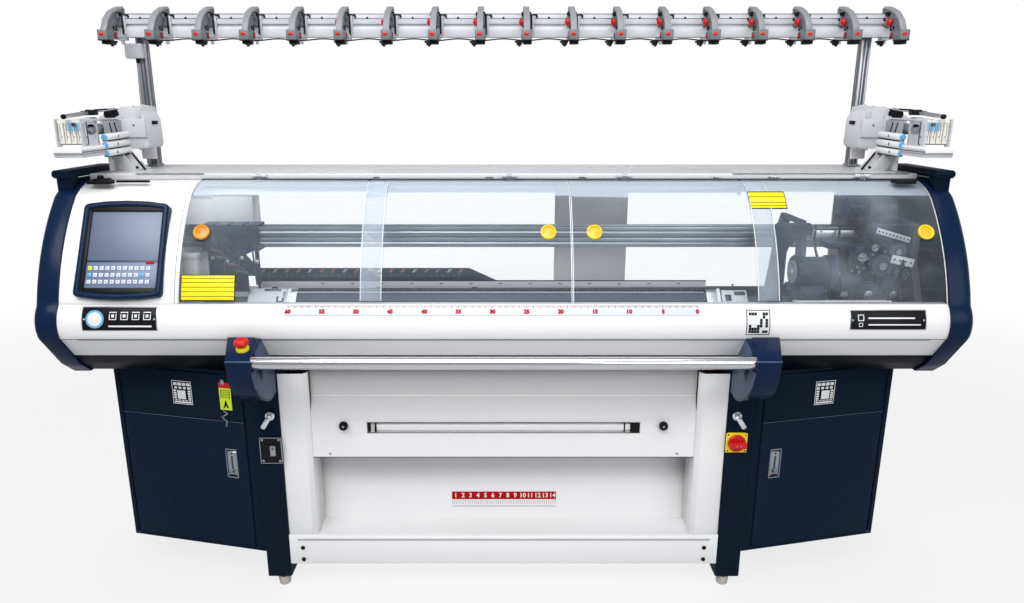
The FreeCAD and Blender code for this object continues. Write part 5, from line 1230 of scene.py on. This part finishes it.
# The black strips along the guard panel's edges are a painted shadow in the gaps.
# The white strips along the folds of the guard and of the front rail are a painted highlight.
STAND_PARTS = """
guard_knob_caps steel: rod -523 -191 590 -523 -189 590 4, rod 523 -191 590 523 -189 590 4

slot_ends black_plastic: box -446 -170.5 563 -438 -158 594 0.8,
box -424 -170.5 563 -418 -158 594 0.8, box 417 -170.5 562 447 -158 595 1,
box 396 -170.5 563 400 -158 594 0.8, box -449 -171 559.4 449 -168 561 0.3,
box -449 -171 596 449 -168 597.6 0.3

slot_lip white_paint: box -416 -169 568 396 -164 589 1.5

guard_seam black_plastic slot=white_paint: box -631 -170.4 471.4 631 -150 474 0.4,
box 630 -167 476 633.5 -150 774 0.4, box -632 -167 476 -630 -150 774 0.4,
box 633 -168 606 640 -146 690 1.5

fold_lines white_paint: box -629 -157 684 629 -153.6 687.5 1, box -697 -202.4 186 697 -199 192 1.2

rail_line grey_plastic slot=white_paint: box -697 -201.4 180 697 -199.4 183 0.3

switch_grip red_plastic body=main_switch replaces=switch_knob:
turn -y 36 758 -206 542 0 -4.8 6 -4.8 6 0.5 26 0.5 28 2 28 8 26 10 0 10,
bar y -236 -215 2.5 731 534 737 532.5 779 532.5 785 534 785 550 779 551.5 737 551.5 731 550

switch_holes pink_print body=main_switch:
rod 752 -237 542 752 -235.4 542 2.2, rod 764 -237 542 764 -235.4 542 2.2

switch_face yellow_plastic: box 724 -208.4 508 792 -206.2 576 2

switch_ring honey_plastic: turn -y 36 758 -206 542 29 2 32 2 32 4 31 4.6 29 4.6 29 2.2

rocker_window black_plastic: box -780 -208.7 488 -736 -206.5 542 1

rocker_key steel slot=black_plastic body=mains_rocker:
box -759 -217 499 -741 -213 535 1.5, box -756 -218 516 -744 -215 532 1.2

rocker_mark black_plastic body=mains_rocker: box -753 -218.8 522 -747 -217.6 527 0.3

apron_seam dark_steel slot=white_paint: box -1280 -305.4 922.6 1280 -262 925.8 0.3
"""
# The thin lighter navy rod along each bracket's fold is a painted highlight.
BRACKET_PARTS = """
bracket_folds navy_light: rod 727 -427 896.4 797 -427 896.4 1.5

bracket_cheeks cheek_paint: bar x 725.6 727.6 0.5 -420 858 -374 858 -372 905 -308 924 -253 926
-206 800 -206 719 -262 716 -316 738 -362 768 -398 806

bracket_notches black_plastic slot=navy_paint:
bar x 725 726 0.2 -366 848 -338 846 -318 822 -326 800 -342 812
"""


def screw(place, radius):
    r = radius
    return lathe([(0, 0), (r, 0), (r, 0.4 * r), (0.76 * r, 0.62 * r), (0.4 * r, 0.65 * r),
                  (0.4 * r, 0.3 * r), (0, 0.3 * r)], place, FRONT, 18)


class MakeStand(bpy.types.Operator):
    """Feet, guard knobs, switches, buttons and screws on the stand"""
    bl_idname = "knitting.stand"
    bl_label = "Stand and switches"

    def feet(self):
        places, up = [(x, y, 0) for x in (-758, 758) for y in (-172, 296)], WAYS["+z"]
        pads = turned("0 0 17 0 19 2 21.5 30 20 33 0 33", places, up)
        piece("foot_pads", pads, "foot_plastic", replaces="levelling_feet")
        thread = [(0, 32)] + [(9.4 if k % 2 else 8.0, 32 + k * 0.9) for k in range(10)] + [(0, 41)]
        piece("foot_studs", [lathe(thread, place, up, 24) for place in places], "steel")

    def buttons(self):
        """The stop button and its collar, on the slope of the left bracket."""
        slope = (-119.0, -37.0)
        length = math.hypot(*slope)
        out = (0.0, slope[1] / length, -slope[0] / length)
        base = (-762.0, -306 + slope[0] * 0.52, 931 + slope[1] * 0.52)
        collar = turned("0 -2 18.6 -2 19 0 19 11 17.5 14.5 15 16 9.2 16 9.2 2 0 2", [base], out)
        piece("stop_ring", collar, "yellow_film", replaces="stop_collar")
        cap = turned("0 9.6 8.9 9.6 8.9 22 18 23 21 25 21.5 29 20.5 33 17.5 36 13.5 36.6 "
                     "10 35 4 34 0 33.8", [base], out)
        piece("stop_cap", cap, "red_plastic", "", "stop_push", "stop_button")

    def screws(self):
        guard = [screw((x, -170, 486), 4.4) for x in (-575, 575)]
        piece("guard_screws", guard, "steel")
        rail = [screw((x, -200, z), 7.0) for x in (-680, 680) for z in (152, 108)]
        piece("rail_screws", rail, "black_plastic", "steel")
        places = [(758 + dx, -206, 542 + dz) for dx in (-28, 28) for dz in (-28, 28)]
        plate = turned("0 2 2.6 2 2.6 3 1.8 3.6 0 3.6", places, sides=12)
        piece("switch_screws", plate, "black_plastic", "steel")

    def rocker_rim(self):
        x0, x1, z0, z1 = -794.0, -722.0, 469.0, 561.0
        edges = ((x0, z0, x1, z0 + 2.6), (x0, z1 - 2.6, x1, z1), (x0, z0, x0 + 2.6, z1),
                 (x1 - 2.6, z0, x1, z1))
        rim = [slab((a, -209.6, b), (c, -207.8, d), 0.6) for a, b, c, d in edges]
        rim += [screw((x, -208, z), 3.6) for x in (x0 + 9, x1 - 9) for z in (z0 + 9, z1 - 9)]
        piece("rocker_rim", rim, "steel", "black_plastic")

    def on_each_side(self, name, parts, finish, **options):
        piece(name, both(parts), finish, **options)

    def brackets(self):
        """A skin over each bracket's slope, a painted highlight along its fold and pale cheek
        plates inside.
        """
        plate = sweep(pairs("727 -124.5 797 -124.5 827 0 744 0"), 2, -9, 3.4, 1.2)
        plate = placed([plate], stand_at((0, -306, 931), math.atan2(37, 119)))
        lip = slab((726.4, -427.4, 884), (797.6, -421, 896), 1.0)
        piece("bracket_skins", both([plate, lip]), "navy_paint")
        draw(BRACKET_PARTS, self.on_each_side)

    def execute(self, context):
        self.feet()
        knob = "0 0 9 0 9 6 14 7 15 10 14.5 17 12 21 9 22 8 20 0 20"
        piece("guard_knobs", turned(knob, [(x, -170, 590) for x in (-523, 523)]), "black_plastic")
        draw(STAND_PARTS)
        self.buttons()
        self.screws()
        self.rocker_rim()
        self.brackets()
        return {"FINISHED"}


UNIT_STEP = 152.0
UNIT_PARTS = """
unit_bodies unit_plastic replaces=yarn_units:
bar x -6 6 1.2 258 1899 258 1917 246 1923 218 1917 173 1900 138 1873 117 1840 112 1812 156 1807
172 1836 196 1853 222 1858 222 1899, box -16 103 1808 16 150 1840 2,
box -15 148 1814 15 180 1838 3, box -15 214 1858 15 262 1902 2,
turn +x 20 6 206 1890 0 0 9 0 10 1.5 10 4 7 6 0 6.6

unit_arches arch_plastic: bar x -10 10 1.6 260 1899 260 1919 248 1925 218 1919 172 1902 136 1875
114 1841 109 1811 116 1811 121 1838 141 1869 175 1894 219 1911 247 1917 253 1914 253 1899

unit_clamps black_plastic: box -15.6 154 1817 15.6 174 1835 2, box -7 190 1842 7 198 1862 1.5,
box 15 212 1834 20 222 1894 1.5, box 12 216 1893 38 223 1896.5 1,
box -17 103.5 1806 17 150 1809 0.8, box -9 168 1846 9 178 1856 1.5,
box -16 206 1892 16 226 1904 2, rod -20 222 1881 20 222 1881 5, box -12 118 1796 16 152 1809 2

unit_stays casting_paint: box 20 216 1832 27 223 1893 1.5

bar_clips black_plastic: box -38 214 1806 -10 226 1813 1.5, box -32 210 1799 -14 224 1808 1.5,
box -27 208 1794 -18 214 1801 1
"""
BAR_PARTS = """
bar_edges dark_steel slot=grey_plastic:
box -1318 221 1883 1318 222.6 1884.6 0.2, box -1318 221 1897.6 1318 224 1899.6 0.3

junction_box box_paint: box -1290 238 1758 -1232 276 1806 3

junction_glands black_plastic slot=grey_plastic: rod -1257 258 1760 -1257 258 1744 6
"""


class MakeYarnStand(bpy.types.Operator):
    """Yarn stop units, clips, cables and the box on the overhead bar"""
    bl_idname = "knitting.yarn_stand"
    bl_label = "Yarn stand"

    def repeated(self, name, parts, finish, replaces="", units=18):
        places = [((i - (units - 1) / 2) * UNIT_STEP, 0, 0) for i in range(units)]
        piece(name, [copies(join(parts), places)], finish, "grey_plastic", replaces=replaces)

    def button(self, place, radius, way, wide=1.0):
        """A small domed button; wide stretches it along X."""
        r = radius
        shape = lathe([(0, 0), (r, 0), (r, 0.12 * r), (0.8 * r, 0.3 * r), (0.5 * r, 0.42 * r),
                       (0, 0.46 * r)], (0, 0, 0), WAYS[way], 24)
        return placed([shape], stand_at(place) @ Matrix.Diagonal((wide, 1, 1, 1)))

    def execute(self, context):
        draw(UNIT_PARTS, self.repeated)
        red = turned("0 0 12.5 0 13 1 12.6 4 11 8 8 11 4 12.7 0 13.2", [(-12, 187, 1869)],
                     WAYS["-x"], 28)
        red += [self.button((-2, 103, 1826), 5.2, "-y", 1.6),
                self.button((15, 164, 1826), 6.6, "+x"),
                self.button((-15, 164, 1826), 6.6, "-x")]
        self.repeated("unit_domes", red, "red_plastic")
        holes = turned("0 0 3.6 0 3.6 1 2 1.6 0 1.6", [(0, 222, 1886), (-40, 222, 1889)], sides=12)
        self.repeated("bar_holes", holes, "black_plastic", units=17)
        line = hose([((k * 0.5 - 8) * UNIT_STEP, 228 - 5 * (k % 2), 1820 - 6 * (k % 2))
                     for k in range(33)], 2.2)
        piece("bar_cable", [line], "black_plastic", "grey_plastic")
        conduit = hose([(-1264, 262, 1400), (-1264, 262, 1600), (-1260, 262, 1746)], 4.0)
        piece("conduit", [conduit], "grey_plastic")
        draw(BAR_PARTS)
        posts = (-1243, 1243)
        grooves = [slab((x - 2, 258.6, 1400), (x + 2, 260.4, 1886), 0.3)
                   for post in posts for x in (post - 5, post + 7)]
        piece("post_grooves", grooves, "dark_steel", "aluminium")
        caps = [slab((x - 17, 259, 1822), (x + 17, 293, 1830), 2.0) for x in posts]
        piece("post_caps", caps, "dark_steel", "steel")
        feet = [slab((x - 20, 254, 1393), (x + 20, 298, 1400), 1.5) for x in posts]
        piece("post_feet", feet, "steel")
        return {"FINISHED"}


FEEDER_PARTS = """
feeder_casting casting_paint:
bar y 120 236 5 1196 1462 1188 1476 1190 1556 1204 1586 1236 1600 1272 1598 1294 1580 1298 1560
1298 1476 1290 1462, bar x 1206 1216 2 112 1560 112 1588 150 1606 236 1598 248 1560 248 1520,
box 1192 110 1500 1296 121 1560 2

casting_slots black_plastic: box 1270 108.6 1522 1275 110.6 1528 0.5,
box 1226 108.6 1536 1231 110.6 1542 0.5, box 1186.5 160 1540 1189.5 200 1552 0.5

feeder_tube aluminium: rod 1302 -168 1572 1296 -62 1580 6.5 1.5, rod 1296 -62 1580 1286 112 1592 3.6

feeder_joint black_plastic: box 1276 -44 1574 1304 -12 1591 3,
rod 1300 -66 1580 1299 -58 1580.6 7.6 1, rod 1302 -170 1571.8 1302 -163 1572.2 7.4 1,
rod 1280 -28 1590 1262 20 1592 2.4

feeder_flap grey_plastic: box 1268 -2 1508 1272 110 1556 1

feeder_tray white_paint slot=pale_paint: box 1260 -172 1466 1344 -8 1471 1.2,
box 1260 -172 1466 1264 -8 1484 1.2, box 1260 -174 1466 1344 -170 1484 1.2

tray_edge grey_plastic slot=pale_paint: box 1258.6 -172 1461 1344 -10 1465.6 0.8

feeder_shield clear_blue body=loops: box 1264 -152 1530 1306 -149 1555 0.8

shield_clip dark_steel slot=clear_cover body=loops: box 1276 -155 1544 1288 -151 1554 1

feeder_plates white_paint slot=pale_paint: box 1224 118 1393 1272 123 1462 1,
box 1221 236 1420 1271 241 1498 1, box 1296 60 1393 1302 118 1462 1

feeder_brace black_plastic: rod 1246 110 1450 1206 110 1393 3.4
"""


class MakeFeeders(bpy.types.Operator):
    """Castings, rollers, sensor bars, loops and covers of the side feeders"""
    bl_idname = "knitting.feeders"
    bl_label = "Side feeders"

    def rollers(self):
        """The grooved drum and the knurled handle."""
        grooves = pairs("0 -20 16.4 -20 17.4 -19")
        for k in range(32):
            y = -19 + k * 3.95
            grooves += [(17.4, y + 2.2), (16, y + 2.7), (16, y + 3.4), (17.4, y + 3.9)]
        grooves += pairs("17.4 108 10 108 0 108")
        pair("feeder_drum", [lathe(grooves, (1302, 0, 1530), WAYS["+y"], 32)], "grey_plastic",
             "roller_rubber", "feeder_roller", "feeder_roller")
        knurl = pairs("0 0 12 0")
        for k in range(20):
            knurl += [(12, 7 * k + 1), (14, 7 * k + 2), (14, 7 * k + 5), (12, 7 * k + 6)]
        knurl += pairs("12 141 0 141")
        pair("feeder_knurl", [lathe(knurl, (1300, 84, 1573), (-0.22, 0.96, 0.1), 24)],
             "black_plastic")

    def sensors(self):
        """Three round bars one above the other, with blue ends and dark marks."""
        bars, tips, marks = [], [], []
        for k, z in enumerate((1456, 1481, 1506)):
            bars.append(rod((1262, -22, z), (1256, 196, z + 6), 10.6, 2.5, 20))
            tips.append(rod((1262.4, -30, z), (1262, -20, z), 9.2, 2.0, 20))
            marks += [slab((1249.4, y + 9 * k, z - 2), (1253, y + 9 * k + 7, z + 5), 0.6)
                      for y in (22, 86, 150)]
            marks.append(slab((1258, -10, z - 12.4), (1276, 190, z - 9.4), 0.4))
        pair("sensor_bars", bars, "white_plastic", "pale_paint")
        pair("sensor_ends", tips, "blue_plastic", "pale_paint")
        pair("sensor_marks", marks, "black_plastic", "pale_paint")

    def execute(self, context):
        draw(FEEDER_PARTS, pair)
        self.rollers()
        self.sensors()
        slots = [placed([slab((-1, -3, -17), (1, 3, 17), 0.6)], stand_at((1267.6, y, 1534), 0.35))
                 for y in (34, 66)]
        pair("flap_slots", slots, "black_plastic")
        wires = [rod((1256 + 17 * k, -132, 1556), (1256 + 17 * k, -132, 1490), 1.7)
                 for k in range(6)]
        wires += [rod((1256, -132, z), (1341, -132, z), 1.4) for z in (1490, 1512)]
        pair("feeder_wires", wires, "dark_steel", "steel", "loops")
        places = [(1236, 118, 1400), (1260, 118, 1400), (1262, 118, 1448)]
        bolts = turned("0 0 5 0 5 3 4 4 2.4 4.1 2.4 1.6 0 1.6", places, sides=14)
        pair("feeder_bolts", bolts, "black_plastic", "steel")
        return {"FINISHED"}


DECK_PARTS = """
deck_clamp black_plastic slot=grey_plastic: box -1296 -104 1366 -1222 -70 1377 3,
box -1284 -92 1374 -1240 -52 1382 3,
turn +z 20 -1262 -80 1380 0 0 9 0 10 3 10 9 7 12 0 12

deck_clamp_right black_plastic slot=grey_plastic: box 1226 -92 1366 1290 -52 1380 3

deck_slot black_plastic slot=white_paint: box -1218 -76 1369 -1115 -62 1375 1.5

deck_sheet box_paint slot=white_paint: box -427 18 1392.2 760 150 1393.4 0.4

deck_seams black_plastic slot=white_paint:
box -1180 -22 1391.6 -960 -17.5 1392.8 0.3, box 735 -22 1391.6 1300 -17.5 1392.8 0.3
"""


class MakeTopFittings(bpy.types.Operator):
    """Clamps, slot, seams, hinges and small screws on the top covers"""
    bl_idname = "knitting.top_fittings"
    bl_label = "Top fittings"

    def execute(self, context):
        draw(DECK_PARTS)
        metal = []
        for a, b in pairs("672 697 849 887 1118 1152 -420 -396 -60 -30 240 268"):
            metal.append(slab((a, -18, 1375), (b, 2, 1383), 1.5))
            metal.append(rod((a - 3, -10, 1384), (b + 3, -10, 1384), 2.6))
        piece("deck_fittings", metal, "chrome", "steel")
        places = [(-1110 + k * 185.0, 40, 1378) for k in range(13)]
        heads = turned("0 0 4.4 0 4.2 1.4 2.6 2.4 1.2 2.5 1.2 1.2 0 1.2", places, WAYS["+z"], 14)
        piece("deck_screws", heads, "steel")
        return {"FINISHED"}


REAR_PARTS = """
inlet_plate grey_plastic slot=pale_paint: box 250 425 948 330 426.2 1008 1

inlet_socket black_plastic slot=pale_paint: box 266 426 962 314 427.5 996 1
"""


class MakeRear(bpy.types.Operator):
    """Vents, screws and the cable inlet on the machine's back"""
    bl_idname = "knitting.rear"
    bl_label = "Rear details"

    def execute(self, context):
        vents = row(slab((-30, 424.2, -2.2), (30, 425.6, 2.2), 1.0), 9, (0, 0, 9.0))
        groups = copies(vents, [(x, 0, 1060) for x in (250, 335, 420)])
        piece("rear_vents", [groups], "black_plastic", "pale_paint")
        draw(REAR_PARTS)
        places = [(x, 425, z) for x in (-1250, -900, -500, -100, 120, 460, 900, 1250)
                  for z in (918, 1352)]
        screws = turned("0 0 4.6 0 4.2 1.6 2.2 2.4 0 2.5", places, WAYS["+y"], 14)
        piece("rear_screws", screws, "steel")
        return {"FINISHED"}


LAMPS = (
    ("key", (-1.0, -3.0, 3.9), (0.0, -0.3, 0.8), (4.0, 1.4), 135.0),
    ("fill", (2.4, -3.4, 2.4), (0.2, 0.0, 0.6), (2.4, 2.0), 38.0),
    ("top", (0.0, -1.0, 4.2), (0.0, -0.3, 0.8), (4.5, 1.6), 50.0),
    ("inner", (0.0, 1.9, 2.0), (0.0, 0.2, 1.1), (2.6, 1.0), 40.0),
    ("covers", (0.0, -0.04, 1.36), (0.0, 0.05, 1.0), (2.3, 0.03), 1.1),
    ("box", (-1.04, 0.11, 1.34), (-1.04, 0.34, 1.2), (0.22, 0.06), 0.5),
)


class MakeStage(bpy.types.Operator):
    """Pale floor, soft studio light and the camera at the photographed angle"""
    bl_idname = "knitting.stage"
    bl_label = "Stage"

    def floor(self):
        deselect()
        bpy.ops.mesh.primitive_plane_add(size=60.0)
        plane = active()
        plane.name = "floor"
        f = Finish("floor_paint")
        camera_ray = f.node("ShaderNodeLightPath", out="Is Camera Ray")
        matt = f.node("ShaderNodeBsdfDiffuse", {}, {"Color": rgb(196, 197, 199)})
        white = f.node("ShaderNodeEmission", {}, {"Color": (1.0, 1.0, 1.0), "Strength": 1.0})
        x, y = f.axis(0), f.axis(1)
        share = camera_ray * (0.80 + 0.20 * (x * x + y * y).ramp(2.5, 30.0))
        plane.data.materials.append(
            f.finish(f.node("ShaderNodeMixShader", {}, (share, matt, white))))

    def world(self):
        """White to the camera and through the covers, soft light to everything else."""
        world = bpy.data.worlds.new("studio")
        bpy.context.scene.world = world
        world.use_nodes = True
        nodes, links = world.node_tree.nodes, world.node_tree.links
        nodes.clear()
        kinds = ("OutputWorld", "Background", "Background", "LightPath", "Math", "MixShader")
        out, soft, white, path, seen, mix = (nodes.new("ShaderNode" + kind) for kind in kinds)
        for node, colour, strength in ((soft, (0.97, 0.98, 1.0, 1.0), 0.34), (white, (1,) * 4, 1)):
            node.inputs["Color"].default_value = colour
            node.inputs["Strength"].default_value = strength
        seen.operation = "MAXIMUM"
        for start, end in ((path.outputs["Is Camera Ray"], seen.inputs[0]),
                           (path.outputs["Is Transmission Ray"], seen.inputs[1]),
                           (seen.outputs[0], mix.inputs[0]), (soft.outputs[0], mix.inputs[1]),
                           (white.outputs[0], mix.inputs[2]),
                           (mix.outputs[0], out.inputs["Surface"])):
            links.new(start, end)

    def lamp(self, name, place, target, size, power):
        deselect()
        bpy.ops.object.light_add(type="AREA", location=place)
        lamp = active()
        lamp.name = name
        lamp.data.shape = "RECTANGLE"
        lamp.data.size, lamp.data.size_y = size
        lamp.data.energy = power
        lamp.visible_camera = False
        lamp.visible_glossy = name not in ("inner", "covers", "box")
        aim = Vector(target) - Vector(place)
        lamp.rotation_euler = aim.to_track_quat("-Z", "Y").to_euler()

    def camera(self):
        values = looks()
        deselect()
        bpy.ops.object.camera_add(
            location=(0.0, -values.camera_back, values.camera_height),
            rotation=(math.radians(90) - values.camera_pitch, 0.0, 0.0))
        camera = active()
        camera.data.sensor_width = SENSOR_WIDTH
        camera.data.lens = LENS
        camera.data.shift_x = PHOTO_SHIFT / PHOTO_WIDTH
        bpy.context.scene.camera = camera

    def execute(self, context):
        context.scene.view_settings.view_transform = "Standard"
        self.floor()
        self.world()
        for lamp in LAMPS:
            self.lamp(*lamp)
        self.camera()
        return {"FINISHED"}


class KnittingPanel(bpy.types.Panel):
    """Lists the pieces in the sidebar"""
    bl_idname = "VIEW3D_PT_knitting"
    bl_label = "Knitting machine"
    bl_space_type = "VIEW_3D"
    bl_region_type = "UI"
    bl_category = "Knitting"

    def draw(self, context):
        for prop in KnittingLooks.__annotations__:
            self.layout.prop(context.scene.knitting_looks, prop)
        for operator in PIECES:
            self.layout.operator(operator.bl_idname)


PIECES = (MakeCovers, MakePanel, MakeWindows, MakeApronMarks, MakeBeds, MakeInterior,
          MakeCarriage, MakeCarriers, MakeCabinets, MakeStand, MakeYarnStand, MakeFeeders,
          MakeTopFittings, MakeRear, MakeStage)
CLASSES = (KnittingLooks, *PIECES, KnittingPanel)


def register():
    for cls in CLASSES:
        bpy.utils.register_class(cls)
    bpy.types.Scene.knitting_looks = PointerProperty(type=KnittingLooks)


def unregister():
    del bpy.types.Scene.knitting_looks
    for cls in reversed(CLASSES):
        bpy.utils.unregister_class(cls)


def main():
    register()
    make_finishes()
    for operator in PIECES:
        group, name = operator.bl_idname.split(".")
        getattr(getattr(bpy.ops, group), name)()


if __name__ == "__main__":
    main()
